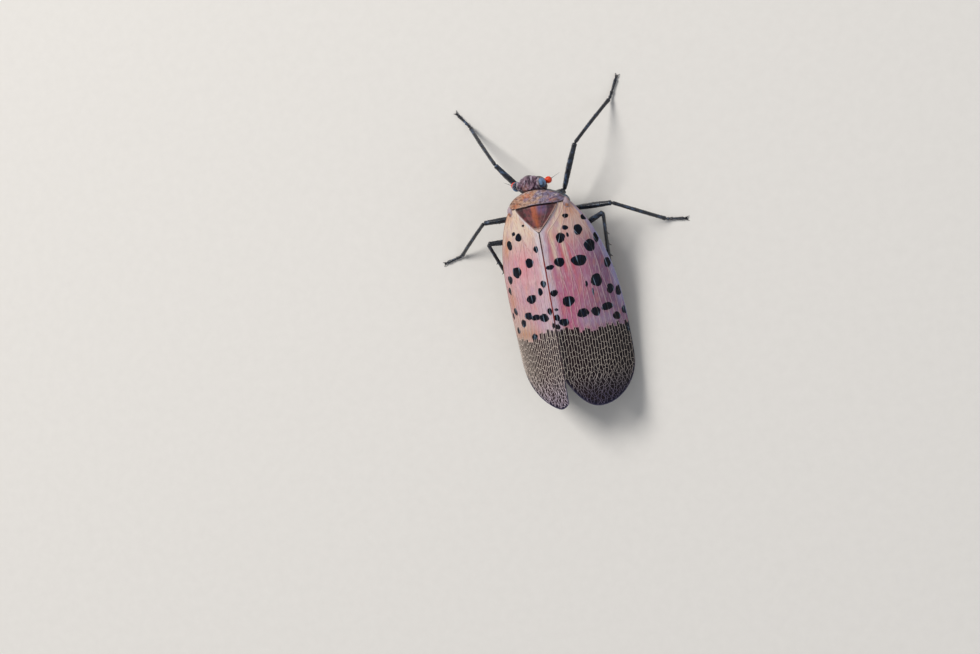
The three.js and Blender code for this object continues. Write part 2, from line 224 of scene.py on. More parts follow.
def slab(name, top, bottom, colours, under=0.5):
    """A closed, painted slab between two grids of points, with its lower side painted darker, as shade."""
    rows, columns = top.shape[:2]
    shift = rows * columns
    upper = np.arange(shift).reshape(rows, columns)
    rim = np.concatenate([upper[0], upper[1:, -1], upper[-1, -2::-1], upper[-2:0:-1, 0]])
    ahead = np.roll(rim, -1)
    sides = stacked(ahead, rim, rim + shift, ahead + shift).tolist()
    faces = quads_of(upper) + quads_of(upper[:, ::-1] + shift) + sides
    piece = mesh_piece(name, np.concatenate([top, bottom]), faces)
    map_slab(piece, rows, columns)
    # The lower side takes the top's colours times under: a painted shade on the side away from the light.
    tint(piece, np.concatenate([colours, colours * under]).reshape(-1, 3))
    return piece


def loft(name, rings, colours=None):
    """A closed form through rings of points, with a pole at each end, painted if it has colours."""
    rows, around = rings.shape[:2]
    index = np.arange(rows * around).reshape(rows, around)
    faces = quads_of(np.concatenate([index, index[:, :1]], axis=1))
    first = rows * around
    for k in range(around):
        after = (k + 1) % around
        faces.append([first, index[0, after], index[0, k]])
        faces.append([first + 1, index[-1, k], index[-1, after]])
    poles = [rings[0].mean(axis=0), rings[-1].mean(axis=0)]
    piece = mesh_piece(name, np.concatenate([rings.reshape(-1, 3), poles]), faces)
    if colours is not None:
        colours = colours.reshape(-1, 3)
        tint(piece, np.concatenate([colours, colours[:1], colours[-1:]]))
    return piece


def finish_piece(piece, material, slot, *nodes):
    """Gives a piece its material, hangs it under the root and hides the solids that it stands for."""
    piece.data.materials.clear()
    piece.data.materials.append(material)
    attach(piece, "root")
    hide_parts(*nodes)
    print(piece.name, "has", sum(len(face.vertices) - 2 for face in piece.data.polygons), "triangles")


print("a slab or a loft is closed, smooth and faces outwards")

# %% [markdown]
# Colours are named as they look on a screen, and Blender mixes light, so they are converted once.
# A few helpers then keep a material's nodes readable: each makes one node, and an input that is
# another node's output is linked, while any other value is set.

# %% Colours and nodes
def shade(red, green, blue):
    """A linear colour from screen values between 0 and 255."""
    screen = np.array([red, green, blue]) / 255
    return np.where(screen <= 0.04045, screen / 12.92, ((screen + 0.055) / 1.055) ** 2.4)


def mixed(first, second, share):
    """Colours between two, for an array of shares."""
    share = np.asarray(share, dtype=float)[..., None]
    return first * (1 - share) + second * share


def painted(colour, *layers):
    """A colour under layers, each as (red, green, blue, share)."""
    for red, green, blue, share in layers:
        colour = mixed(colour, shade(red, green, blue), share)
    return colour


def give(tree, socket, value):
    """Links or sets one input."""
    if isinstance(value, bpy.types.NodeSocket):
        tree.links.new(value, socket)
    elif socket.type == "RGBA":
        socket.default_value = [*value, 1.0]
    else:
        socket.default_value = value


def node(tree, kind, inputs=None, **settings):
    """One node, with its settings and its inputs by name or number."""
    made = tree.nodes.new(kind)
    for key, value in settings.items():
        setattr(made, key, value)
    for key, value in (inputs or {}).items():
        give(tree, made.inputs[key], value)
    return made


def layered(tree, colour, *layers):
    """A colour under layers, each as (share, colour); a mix node's sockets go by number."""
    for share, over in layers:
        colour = node(tree, "ShaderNodeMix", {0: share, 6: colour, 7: over}, data_type="RGBA").outputs[2]
    return colour


def sum_of(tree, operation, first, second):
    """One sum on two numbers."""
    return node(tree, "ShaderNodeMath", {0: first, 1: second}, operation=operation).outputs[0]


def times(tree, first, second):
    """The product of two numbers."""
    return sum_of(tree, "MULTIPLY", first, second)


def ramp(tree, value, low, high, bottom=0.0, top=1.0):
    """A value eased from one range to another."""
    inputs = {"Value": value, "From Min": low, "From Max": high, "To Min": bottom, "To Max": top}
    return node(tree, "ShaderNodeMapRange", inputs, interpolation_type="SMOOTHSTEP").outputs["Result"]


def read(tree, name, kind="Fac"):
    """An attribute of the piece."""
    return node(tree, "ShaderNodeAttribute", attribute_name=name).outputs[kind]


def object_places(tree):
    """Object coordinates."""
    return node(tree, "ShaderNodeTexCoord").outputs["Object"]


def noise(tree, places, detail, roughness):
    """Noise with features about one unit of the given places across."""
    inputs = {"Vector": places, "Scale": 1.0, "Detail": detail, "Roughness": roughness}
    return node(tree, "ShaderNodeTexNoise", inputs).outputs["Fac"]


def cloud(tree, scale, detail=2.0, roughness=0.5):
    """Noise over object coordinates that are scaled along each axis."""
    inputs = {"Vector": object_places(tree), "Scale": scale}
    return noise(tree, node(tree, "ShaderNodeMapping", inputs).outputs["Vector"], detail, roughness)


def bumped(tree, height, distance, strength=1.0):
    """A normal from heights, with the distance in metres."""
    inputs = {"Height": height, "Distance": distance, "Strength": strength}
    return node(tree, "ShaderNodeBump", inputs).outputs["Normal"]


def new_finish(name):
    """A material, and the tree that its nodes go in."""
    material = bpy.data.materials.new(name)
    material.use_nodes = True
    return material, material.node_tree


def surfaced(material, **inputs):
    """Feeds the main shader, by input names with underscores for spaces."""
    tree = material.node_tree
    for title, value in inputs.items():
        give(tree, tree.nodes["Principled BSDF"].inputs[title.replace("_", " ")], value)
    return material


print("pink in linear light:", shade(222, 170, 170).round(3))

# %% [markdown]
# Two effects come back on most of the shell. Cuticle grain is a fine pebbling with scattered pits,
# and wax bloom is the pale bluish powder that gathers in patches. Each is one shader node group with
# named inputs, built once and then placed in every material that needs it.

# %% Cuticle grain and wax bloom as node groups
def new_group(name, inputs, outputs):
    """An empty shader node group, with what its input node gives and what its output node takes."""
    group = bpy.data.node_groups.new(name, "ShaderNodeTree")
    for title, value in inputs.items():
        group.interface.new_socket(title, in_out="INPUT", socket_type="NodeSocketFloat").default_value = value
    for title in outputs:
        group.interface.new_socket(title, in_out="OUTPUT", socket_type="NodeSocketFloat")
    return group, group.nodes.new("NodeGroupInput").outputs, group.nodes.new("NodeGroupOutput").inputs


def scaled_places(tree, scale):
    """Object coordinates times one number."""
    inputs = {0: object_places(tree), "Scale": scale}
    return node(tree, "ShaderNodeVectorMath", inputs, operation="SCALE").outputs[0]


def build_grain_group():
    """Pebbles and pits: a height for bump, and a tone and a pit mask for colour."""
    values = {"Scale": 9000.0, "Pits": 0.4}
    group, given, result = new_group("cuticle grain", values, ["Height", "Tone", "Pit"])
    pebbles = noise(group, scaled_places(group, given["Scale"]), 3.0, 0.6)
    wide = scaled_places(group, times(group, given["Scale"], 0.22))
    cells = node(group, "ShaderNodeTexVoronoi", {"Vector": scaled_places(group, given["Scale"])})
    pit = ramp(group, cells.outputs["Distance"], 0.3, 0.08)
    give(group, result["Height"], sum_of(group, "SUBTRACT", pebbles, times(group, pit, given["Pits"])))
    give(group, result["Tone"], noise(group, wide, 2.0, 0.5))
    give(group, result["Pit"], pit)
    return group


def build_bloom_group():
    """Patches of wax, broken by a fine speckle."""
    group, given, result = new_group("wax bloom", {"Scale": 1600.0, "Amount": 0.5}, ["Mask"])
    patches = noise(group, scaled_places(group, given["Scale"]), 3.0, 0.65)
    speckle = noise(group, scaled_places(group, times(group, given["Scale"], 9.0)), 1.0, 0.5)
    level = sum_of(group, "SUBTRACT", 1.0, given["Amount"])
    mask = ramp(group, patches, level, sum_of(group, "ADD", level, 0.22))
    give(group, result["Mask"], times(group, mask, ramp(group, speckle, 0.35, 0.6, 0.25, 1.0)))
    return group


GRAIN = build_grain_group()
BLOOM = build_bloom_group()


def place_group(tree, group, **values):
    """What the group gives in a material, with its own values."""
    return node(tree, "ShaderNodeGroup", values, node_tree=group).outputs


def grained(material, grain, colour, rough, bump, strength=1.0, **inputs):
    """A surface with a colour over cuticle grain, which gives its roughness and its bump."""
    tree = material.node_tree
    inputs["Roughness"] = ramp(tree, grain["Tone"], 0.3, 0.7, *rough)
    inputs["Normal"] = bumped(tree, grain["Height"], bump, strength)
    return surfaced(material, Base_Color=colour, **inputs)


print("groups:", GRAIN.name, "and", BLOOM.name)

# %% [markdown]
# ## The wings
# At rest the forewings make a steep roof. Its half width and its fall are drawn through a few
# stations behind the shield's tip, and its section is nearly flat at the ridge and steep at the
# sides. The two wings differ: the left one is swung inward, so it ends in a point near the ridge,
# and the right one is broad and round. These numbers are the same as in the solids.

# %% The roof that the wings make
ROOF_HALF_WIDTH = [(-2.9, 3.45), (-0.7, 4.72), (2.4, 5.72), (6, 6.24), (11, 6.38), (20, 6.2)]
ROOF_DROP = [(-2.9, 1.6), (-0.7, 2.5), (2.4, 3.5), (6, 4.75), (11, 5.75), (20, 6.3)]
RIDGE_STRAIGHT = 0.47
RIDGE_BEND = 4
SEAM = 0.05
WING_ROOT = -2.85
WING_SIDES = {"right": 1, "left": -1}
WING_ENDS = {
    "right": dict(apex=19.2, apex_across=0.5, inner_fall=3.3, inner_power=2, outer_fall=4.8, outer_power=2.2),
    "left": dict(apex=18.95, apex_across=0.17, inner_fall=0.5, inner_power=2, outer_fall=5.2, outer_power=1.4),
}
SHIELD_HALF_WIDTH = 2.4
SHIELD_LENGTH = 3.0


def shield_half_width(forward):
    """Half the width of the shield between the wings."""
    share = np.clip(forward / SHIELD_LENGTH, 0, 1)
    return SHIELD_HALF_WIDTH * (1 - (1 - share) ** 1.25)


def wing_end(side, column):
    """How far back the wing reaches, for a place across it."""
    w = WING_ENDS[side]
    q = np.clip((w["apex_across"] - column) / w["apex_across"], 0, None)
    inner = w["apex"] - w["inner_fall"] * q ** w["inner_power"]
    q = np.clip((column - w["apex_across"]) / (1 - w["apex_across"]), 0, 1)
    arc = np.clip(1 - q ** w["outer_power"], 0, 1) ** (1 / w["outer_power"])
    return np.where(column < w["apex_across"], inner, w["apex"] - w["outer_fall"] * (1 - arc))


def roof_slope(across):
    """How steeply the roof's section falls."""
    return RIDGE_STRAIGHT + (1 - RIDGE_STRAIGHT) * RIDGE_BEND * across ** (RIDGE_BEND - 1)


def roof_fall(across):
    """How far the roof's section has fallen, as a share of its drop."""
    return RIDGE_STRAIGHT * across + (1 - RIDGE_STRAIGHT) * across ** RIDGE_BEND


def inner_edge(back):
    """Where the wing starts across the roof: beside the shield, and then at the ridge."""
    return (shield_half_width(-back) + SEAM / 2) / through(ROOF_HALF_WIDTH, back)


def roof_point(side, back, across, depth=0.0):
    """A place on the folded wing, sunk by a depth under its outer surface."""
    width = through(ROOF_HALF_WIDTH, back)
    drop = through(ROOF_DROP, back)
    steep = drop * roof_slope(across)
    length = np.hypot(steep, width)
    lean = eased(0, 0.15, across - inner_edge(back))
    right = width * across - steep / length * depth * lean
    height = -drop * roof_fall(across) - width / length * depth
    return in_row(WING_SIDES[side] * right, -back, height)


print("the wings end", [round(float(wing_end(side, 0.3)), 2) for side in WING_SIDES], "mm back")

# %% [markdown]
# The wing is divided across into lanes, from 0 at the ridge to 1 at the outer edge. They are spread
# between even in width and even along the curved skin, so that cells look alike all over the wing.

# %% The wing's lanes
VEIN_COUNT = 27
LANE_TABLE = np.linspace(0, 1, 1001)
EVENING = 0.9


def even_columns(fine):
    """Places across the wing for the table of lanes."""
    stretch = (1 + (EVENING * roof_slope(fine)) ** 2) ** 0.25
    run = np.concatenate([[0], np.cumsum((stretch[1:] + stretch[:-1]) / 2)])
    return np.interp(LANE_TABLE, run / run[-1], fine)


COLUMN_TABLE = even_columns(np.linspace(0, 1, 400))


def column_at(lane):
    """The place across the wing of a lane."""
    return np.interp(lane, LANE_TABLE, COLUMN_TABLE)


def lane_at(column):
    """The lane of a place across the wing."""
    return np.interp(column, COLUMN_TABLE, LANE_TABLE)


def on_wing(side, back, lane, depth=0.0):
    """A place on the wing by its distance back and its lane."""
    edge = inner_edge(back)
    return roof_point(side, back, edge + (1 - edge) * column_at(lane), depth)


print("lane 0.5 lies at", round(float(column_at(0.5)), 3), "of the wing's width")

# %% [markdown]
# The spots are pigment, so they are painted, not modelled. Each is listed as it is seen: how far
# back it lies, its share of the way from the ridge to the outer edge, and its width and length.
# A steep part of the roof is seen narrower than it is, so each spot is widened by the roof's slope.
# A field in millimetres is painted, above zero inside a spot, so its edge is sharp on any grid.

# %% The spots
VIEW_LEAN = math.radians(18)
RIGHT_SPOTS = [
    (-1.23, 0.63, 0.65, 0.5), (0.0, 0.51, 0.64, 0.53), (0.8, 0.5, 0.27, 0.53), (0.96, 0.36, 1.05, 1.05),
    (0.48, 0.72, 1.0, 1.1), (2.37, 0.79, 1.25, 1.25), (3.48, 0.235, 1.2, 0.94), (3.71, 0.54, 1.6, 1.25),
    (3.83, 0.077, 0.85, 0.55), (6.17, 0.7, 1.3, 1.3), (6.35, 0.545, 0.3, 0.7), (7.31, 0.61, 0.2, 0.95),
    (7.36, 0.86, 0.82, 1.0), (7.76, 0.965, 0.6, 1.2), (6.6, 0.065, 0.8, 0.75), (7.75, 0.243, 1.42, 1.06),
    (8.37, 0.055, 0.42, 0.32), (9.3, 0.41, 1.38, 0.9), (9.42, 0.587, 1.05, 0.94), (9.16, 0.756, 1.2, 0.9),
    (10.37, 0.857, 0.82, 0.85), (9.23, 0.042, 0.64, 0.75), (9.87, 0.13, 1.06, 0.85), (10.2, 0.03, 0.6, 0.6),
    (-0.7, 0.96, 0.6, 0.64), (1.67, 0.955, 0.6, 1.06), (4.56, 0.945, 0.7, 1.17), (9.94, 0.98, 0.6, 0.85),
    (11.8, 0.985, 0.6, 1.0),
]
LEFT_SPOTS = [
    (-1.1, 0.43, 0.27, 0.27), (-0.44, 0.71, 0.37, 0.43), (0.03, 0.57, 0.7, 0.9), (0.67, 0.82, 0.58, 1.0),
    (1.65, 0.148, 0.53, 0.7), (2.94, 0.353, 0.91, 0.99), (3.67, 0.69, 1.02, 1.12), (4.33, 0.88, 0.53, 1.0),
    (5.42, 0.107, 0.58, 0.8), (6.18, 0.21, 0.53, 0.8), (5.53, 0.93, 0.43, 0.85), (6.78, 0.45, 1.12, 0.91),
    (7.82, 0.89, 0.5, 0.8), (8.27, 0.97, 0.43, 0.85), (8.42, 0.07, 0.48, 0.8), (8.5, 0.6, 0.9, 0.78),
    (8.8, 0.42, 1.1, 0.66), (9.0, 0.226, 1.0, 0.85), (9.2, 0.755, 0.58, 0.8), (9.9, 0.92, 0.53, 0.8),
    (10.8, 0.55, 0.64, 0.64), (10.0, 0.04, 0.3, 0.64),
]
WING_SPOTS = {"right": RIGHT_SPOTS, "left": LEFT_SPOTS}
AXIS_CORRECTION = 0.035
LEAST_FORESHORTENING = 0.45
NO_SPOT = -9.0
SPOT_SEED = 11
SPOT_WOBBLES = [(0.07, 2), (0.05, 3), (0.03, 5)]


def seen_width(side, back, across):
    """How far from the ridge a place on the roof looks, for the leaning view."""
    flat = through(ROOF_HALF_WIDTH, back) * math.cos(VIEW_LEAN) * across
    sunk = through(ROOF_DROP, back) * math.sin(VIEW_LEAN) * roof_fall(across)
    return flat + WING_SIDES[side] * sunk


def across_from_seen(side, back, share):
    """The place across the roof that is seen at a share of the wing's seen width."""
    trial = np.linspace(0, 1, 200)
    seen = seen_width(side, back, trial)
    return float(np.interp(share, seen / seen[-1], trial))


def spot_field(side, places, back):
    """Millimetres inside the nearest spot's edge, for places on the wing."""
    chance = np.random.default_rng(SPOT_SEED)
    field = np.full(back.shape, NO_SPOT)
    straight_back = in_row(0, -1, 0) - in_row(0, 0, 0)
    for s, share, wide, long in WING_SPOTS[side]:
        across = across_from_seen(side, s, share)
        s -= AXIS_CORRECTION * WING_SIDES[side] * float(seen_width(side, s, across))
        width = float(through(ROOF_HALF_WIDTH, s))
        steep = float(through(ROOF_DROP, s)) * roof_slope(across)
        seen = width * math.cos(VIEW_LEAN) + WING_SIDES[side] * steep * math.sin(VIEW_LEAN)
        half_wide = wide / max(seen / math.hypot(width, steep), LEAST_FORESHORTENING) / 2
        half_long = long / 2
        near = np.abs(back - s) < 3 * half_long
        offset = places[near] / MM - roof_point(side, s, across) / MM
        along = back[near] - s
        sideways = np.linalg.norm(offset - along[:, None] * straight_back / MM, axis=-1)
        outward = np.sign((BODY_X - places[near][:, 0] / MM) * WING_SIDES[side] - width * across)
        angle = np.arctan2(along / half_long, outward * sideways / half_wide)
        wobble = 1
        for (size, turns), phase in zip(SPOT_WOBBLES, chance.uniform(0, 2 * math.pi, 3)):
            wobble = wobble + size * np.sin(turns * angle + phase)
        reach = np.hypot(along / half_long, sideways / half_wide)
        inside = (wobble - reach) * math.sqrt(half_wide * half_long)
        field[near] = np.maximum(field[near], inside)
    return field


print("spots:", {side: len(spots) for side, spots in WING_SPOTS.items()})

# %% [markdown]
# The membrane is cream and pink in front and turns, along a ragged line, into a net of small dark
# cells. Each lane between two veins starts its cells at its own place. The colours change slowly
# over the wing, so they are computed from the distance back and the lane for any point: a ground,
# and then one soft layer after the other.

# %% The membrane's colours
NET_START = {
    "right": [(0, 10.3), (0.25, 10.75), (0.5, 10.95), (1, 10.9)],
    "left": [(0, 10.2), (0.4, 11.0), (0.6, 11.1), (1, 10.6)],
}
NET_RAGGED = 0.3
NET_SEED = 5


def net_start(side, lane):
    """Where the net begins, lane by lane."""
    jitter = np.random.default_rng(NET_SEED).uniform(-NET_RAGGED, NET_RAGGED, VEIN_COUNT + 2)
    cell = np.clip(np.floor(lane * VEIN_COUNT + 0.5).astype(int), 0, VEIN_COUNT + 1)
    return through(NET_START[side], lane) + jitter[cell]


def right_membrane(back, lane):
    """Peach, then rose and mauve, with cream stripes at the root, a bluish outer edge, a painted sheen at the
    ridge, and mauve that is partly painted shade.
    """
    ground = mixed(shade(212, 180, 168), shade(180, 118, 144), eased(-1.8, 3.0, back + 2.5 * (0.3 - lane)))
    rose = eased(4.0, 8.5, back) * bump_at(lane, 0.22, 0.2)
    mauve_and_shade = eased(5.5, 9.5, back) * eased(0.25, 0.6, lane)
    outer = eased(0.5, 0.85, lane) * eased(-1.0, 2.5, back)
    shoulder = bump_at(back, -2.4, 1.1) * bump_at(lane, 0.6, 0.25)
    stripe = bump_at(np.sin(lane * 38 + 0.6), 1, 0.8) * eased(0.5, 0.35, lane) * eased(6, 2, back)
    warm = (bump_at(lane, 0.3, 0.022) + bump_at(lane, 0.42, 0.018)) * bump_at(back, 3.4, 2.0)
    edge = eased(0.9, 0.95, lane) * eased(10, 8, back)
    pale = bump_at(back, 10.1, 0.8) * eased(0.25, 0.45, lane) * eased(0.95, 0.8, lane)
    # The pale bluish strip along the ridge is a painted sheen. The dark mauve over the outer half and the hind
    # part is partly the wing's own colour and partly painted shade on the side turned from the light.
    return painted(ground, (184, 92, 126, 0.66 * rose), (128, 98, 122, 0.55 * mauve_and_shade),
                   (122, 94, 126, 0.88 * outer), (200, 138, 102, 0.7 * shoulder),
                   (226, 206, 182, 0.75 * stripe), (206, 92, 96, 0.7 * warm),
                   (204, 196, 210, 0.75 * eased(0.13, 0.05, lane)),
                   (146, 146, 184, 0.85 * edge), (166, 148, 178, 0.65 * pale))


def left_membrane(back, lane):
    """Cream and pale rose, with golden streaks outwards, a burnt patch before the net, and a painted
    bluish-white sheen along the ridge.
    """
    ground = mixed(shade(224, 203, 183), shade(208, 165, 173), eased(-1.0, 3.0, back))
    near_net = eased(7.0, 10.0, back) * eased(0.25, 0.6, lane)
    burnt = bump_at(back, 10.5, 0.7) * bump_at(lane, 0.62, 0.3)
    golden = bump_at(lane, 0.82, 0.12) * (0.5 + 0.5 * np.sin(back * 1.1 + 0.4))
    shoulder = bump_at(back, -2.4, 1.0) * bump_at(lane, 0.8, 0.3)
    pale = eased(5.0, 9.0, back) * eased(0.35, 0.1, lane)
    rim = eased(0.15, 0.04, lane) * eased(8, 4, back)
    blush = bump_at(back, 3.2, 1.6) * bump_at(lane, 0.45, 0.2)
    # The pale bluish-white band along the ridge is a painted sheen.
    return painted(ground, (190, 142, 158, 0.6 * eased(5.0, 9.0, back)), (204, 182, 164, 0.8 * near_net),
                   (182, 122, 74, 0.6 * burnt), (196, 128, 70, 0.65 * golden), (200, 134, 88, 0.6 * shoulder),
                   (196, 182, 196, 0.7 * pale), (210, 208, 218, 0.75 * rim), (226, 140, 148, 0.6 * blush))


MEMBRANE_COLOURS = {"right": right_membrane, "left": left_membrane}
# The right wing's net veins darken towards the tip far more than the left's: painted shade on the wing turned
# from the light.
NET_VEIN_COLOURS_RIGHT_SHADED = {
    "right": (shade(208, 195, 184), shade(96, 87, 114)),
    "left": (shade(228, 212, 200), shade(204, 188, 204)),
}


def vein_colours(side, back, lane, spots):
    """The veins are paler than the membrane, with a painted bluish glint in a spot, and greyish over the net,
    much darker on the right wing as painted shade.
    """
    warm = bump_at(back, 3.0, 2.2) * bump_at(lane, 0.33, 0.05)
    colour = painted(MEMBRANE_COLOURS[side](back, lane), (228, 202, 198, 0.4), (206, 84, 84, 0.6 * warm))
    grey = mixed(*NET_VEIN_COLOURS_RIGHT_SHADED[side], eased(14.5, 18.5, back))
    colour = mixed(colour, grey, eased(-0.2, 0.4, back - net_start(side, lane)))
    # A painted bluish glint along the veins inside a spot.
    glint = mixed(shade(12, 15, 24), shade(112, 136, 158), bump_at(np.sin(back * 2.1 + lane * 40), 1, 0.5))
    return mixed(colour, glint, eased(-0.02, 0.03, spots))


print("the net starts at", net_start("right", np.array([0.1, 0.5, 0.9])).round(2), "mm on the right wing")

# %% [markdown]
# Each forewing is a thin closed slab. Its outer side lies where the solid's does, so the outline and
# the roof are the same, and it is only as thick as a stiff wing. The lanes sink a little between
# the veins of the net. Three more values are stored: how deep a point is in a spot, whether it is
# in the net, and how near it is to the tip.

# %% The forewings
WING_SKIN = 0.14
WING_ROWS = 330
LANE_STEPS = 5
CELL_SINK = 0.022
NET_DENSITY = {"right": 0.98, "left": 0.93}


def wing_grid(side, rows, lanes, root=WING_ROOT, shorter=0.0):
    """How far back, and in which lane, each point of a wing's grid lies."""
    lane = np.linspace(0, 1, lanes)[None, :]
    end = wing_end(side, column_at(lane)) - shorter
    return np.broadcast_arrays(root + (end - root) * np.linspace(0, 1, rows)[:, None], lane)


def build_forewing(side):
    """One forewing's membrane, with its colours, spots and net painted as attributes."""
    back, lane = wing_grid(side, WING_ROWS, VEIN_COUNT * LANE_STEPS + 1)
    net = eased(0, 0.12, back - net_start(side, lane))
    sink = CELL_SINK * (0.35 + 0.65 * net) * np.cos(math.pi * lane * VEIN_COUNT) ** 2
    top = on_wing(side, back, lane, sink * eased(0.0, 0.03, lane) * eased(0.0, 0.03, 1 - lane))
    bottom = on_wing(side, back, lane, WING_SKIN)
    # The wing's lower side is painted at 0.85 of the top's colours, as shade.
    piece = slab("wing_membrane_" + side, top, bottom, MEMBRANE_COLOURS[side](back, lane), 0.85)
    rim = eased(0.6, 0, wing_end(side, column_at(lane)) - back)
    stores = {"spot": spot_field(side, top, back), "net": net * NET_DENSITY[side], "rim": rim}
    for title, values in stores.items():
        mark(piece, title, np.stack([values, values]))
    return piece


def finish_membrane():
    """Pink membrane with fine streaks, dark spots with painted blue glints, and dark cells."""
    material, tree = new_finish("wing membrane")
    streaks = cloud(tree, (8500, 1100, 8500), 3.0, 0.6)
    mottle = cloud(tree, (1500, 700, 1500))
    fine = cloud(tree, (26000, 9000, 26000), 2.0, 0.6)
    cell = layered(tree, shade(4, 3, 5), (mottle, shade(20, 15, 20)),
                   (ramp(tree, fine, 0.5, 0.75, 0, 0.15), shade(60, 48, 54)))
    edge = sum_of(tree, "ADD", read(tree, "spot"), ramp(tree, fine, 0.2, 0.8, -0.014, 0.014))
    # The spots are near-black ink, with lighter blue streaks that are painted glints.
    ink_and_glints = layered(tree, shade(6, 8, 15), (ramp(tree, streaks, 0.45, 0.7), shade(22, 34, 58)))
    colour = layered(
        tree, read(tree, "tint", "Color"),
        (ramp(tree, streaks, 0.5, 0.75, 0, 0.35), shade(246, 226, 212)),
        (ramp(tree, streaks, 0.5, 0.28, 0, 0.5), shade(176, 92, 104)),
        (ramp(tree, mottle, 0.52, 0.7, 0, 0.25), shade(216, 146, 110)),
        (ramp(tree, mottle, 0.46, 0.3, 0, 0.3), shade(176, 150, 178)),
        (read(tree, "net"), cell),
        (times(tree, read(tree, "rim"), read(tree, "net")), shade(22, 22, 46)),
        (ramp(tree, edge, -0.02, 0.02), ink_and_glints),
    )
    relief = sum_of(tree, "ADD", streaks, times(tree, fine, 0.6))
    return surfaced(material, Base_Color=colour, Roughness=ramp(tree, fine, 0.3, 0.7, 0.36, 0.5),
                    Normal=bumped(tree, relief, 0.000014, 0.6), Specular_IOR_Level=0.14)


MEMBRANE = finish_membrane()
for side in WING_SIDES:
    finish_piece(build_forewing(side), MEMBRANE, "wing", "forewing_" + side)

# %% [markdown]
# ## The veins
# Few long veins leave the wing's root and fork again and again until the net has twenty-seven of
# them, joined by short cross-veins set like bricks. A vein is a raised rib, so it is real geometry:
# the script lays out its centre line as loose edges, and a Geometry Nodes tree turns every edge
# into a thin tube. The tree's radius is named, so a finer or a bolder net is one number away.

# %% A tree that turns edges into veins
def new_tree(name, **inputs):
    """An empty Geometry Nodes tree with named number inputs, and what its input node gives."""
    tree = bpy.data.node_groups.new(name, "GeometryNodeTree")
    for title, value in {"Geometry": "Geometry", **inputs, "Finish": "Material"}.items():
        title = title.replace("_", " ")
        if isinstance(value, str):
            tree.interface.new_socket(title, in_out="INPUT", socket_type="NodeSocket" + value)
            continue
        kind = "NodeSocketInt" if isinstance(value, int) else "NodeSocketFloat"
        tree.interface.new_socket(title, in_out="INPUT", socket_type=kind).default_value = value
    tree.interface.new_socket("Geometry", in_out="OUTPUT", socket_type="NodeSocketGeometry")
    return tree, tree.nodes.new("NodeGroupInput").outputs


def end_tree(tree, geometry, finish):
    """Makes the instances real, sets the material and ends the tree."""
    real = node(tree, "GeometryNodeRealizeInstances", {"Geometry": geometry}).outputs["Geometry"]
    coated = node(tree, "GeometryNodeSetMaterial", {"Geometry": real, "Material": finish})
    node(tree, "NodeGroupOutput", {"Geometry": coated.outputs["Geometry"]})
    return tree


def stored(tree, name, **settings):
    """A value that the script has stored on each point."""
    return node(tree, "GeometryNodeInputNamedAttribute", {"Name": name}, **settings).outputs["Attribute"]


def build_vein_tree():
    """Edges in, tubes out, thickened by the attribute named thickness."""
    tree, given = new_tree("veins from edges", Vein_radius=0.03 * MM, Sides=5)
    ring = {"Resolution": given["Sides"], "Radius": given["Vein radius"]}
    tubes = node(tree, "GeometryNodeCurveToMesh", {
        "Curve": node(tree, "GeometryNodeMeshToCurve", {"Mesh": given["Geometry"]}).outputs["Curve"],
        "Profile Curve": node(tree, "GeometryNodeCurvePrimitiveCircle", ring).outputs["Curve"],
        "Scale": stored(tree, "thickness"),
        "Fill Caps": True,
    })
    return end_tree(tree, tubes.outputs["Mesh"], given["Finish"])


VEIN_TREE = build_vein_tree()


def grown_by(tree, source, name, **values):
    """The plain mesh that a Geometry Nodes tree makes from an object, which is then removed."""
    modifier = source.modifiers.new("grow", "NODES")
    modifier.node_group = tree
    for item in tree.interface.items_tree:
        if item.in_out == "INPUT" and item.name in values:
            modifier[item.identifier] = values[item.name]
    bpy.context.view_layer.update()
    evaluated = source.evaluated_get(bpy.context.evaluated_depsgraph_get())
    mesh = bpy.data.meshes.new_from_object(evaluated)
    bpy.data.objects.remove(source)
    mesh.name = name
    made_solid(mesh)
    return placed(name, mesh)


print("the vein tree has", len(VEIN_TREE.nodes), "nodes")

# %% [markdown]
# The vein paths are drawn on the flat map of the wing, as distance back and lane. Every vein of
# the net follows its own lane. Nearer the root it shares the lane of its group, and the groups
# meet at the shoulder, so the forks come by themselves. A small random wave keeps them natural.

# %% The layout of the veins
FORKS = [(27, 9.0, 3.0), (14, 4.2, 3.2), (7, -0.2, 3.0)]
ROOT_GROUPS = 4
HINGE_LANE = 0.62
PATH_STEP = 0.16
VEIN_LIFT = 0.012
VEIN_SEED = 23
ROOT_SINK = 0.018
FIRST_LANE = 0.004
LAST_LANE = 0.996
CROSS_THICKNESS = 0.56
VEIN_RADIUS = {"right": 0.032, "left": 0.04}


def group_lane(vein, groups):
    """The middle lane of the group that a net vein belongs to."""
    return (np.floor(vein * groups / VEIN_COUNT) + 0.5) / groups


def vein_lane(vein, back, wave):
    """The lane that a vein follows, forks included."""
    lane = group_lane(vein, ROOT_GROUPS) + 0 * back
    hinge = eased(-5.5, 1.0, back)
    lane = HINGE_LANE * (1 - hinge) + lane * hinge
    for groups, start, run in reversed(FORKS):
        lane = lane + (group_lane(vein, groups) - lane) * eased(start, start + run, back)
    rough = eased(10, 13, back) * (0.08 + 0.28 * eased(13.5, 17.5, back)) / VEIN_COUNT
    slow = 0.25 / VEIN_COUNT * np.sin(back * 0.9 + 7 * group_lane(vein, 8))
    return lane + rough * np.sin(back * wave[0] + wave[1]) + slow * eased(12, 9, back)


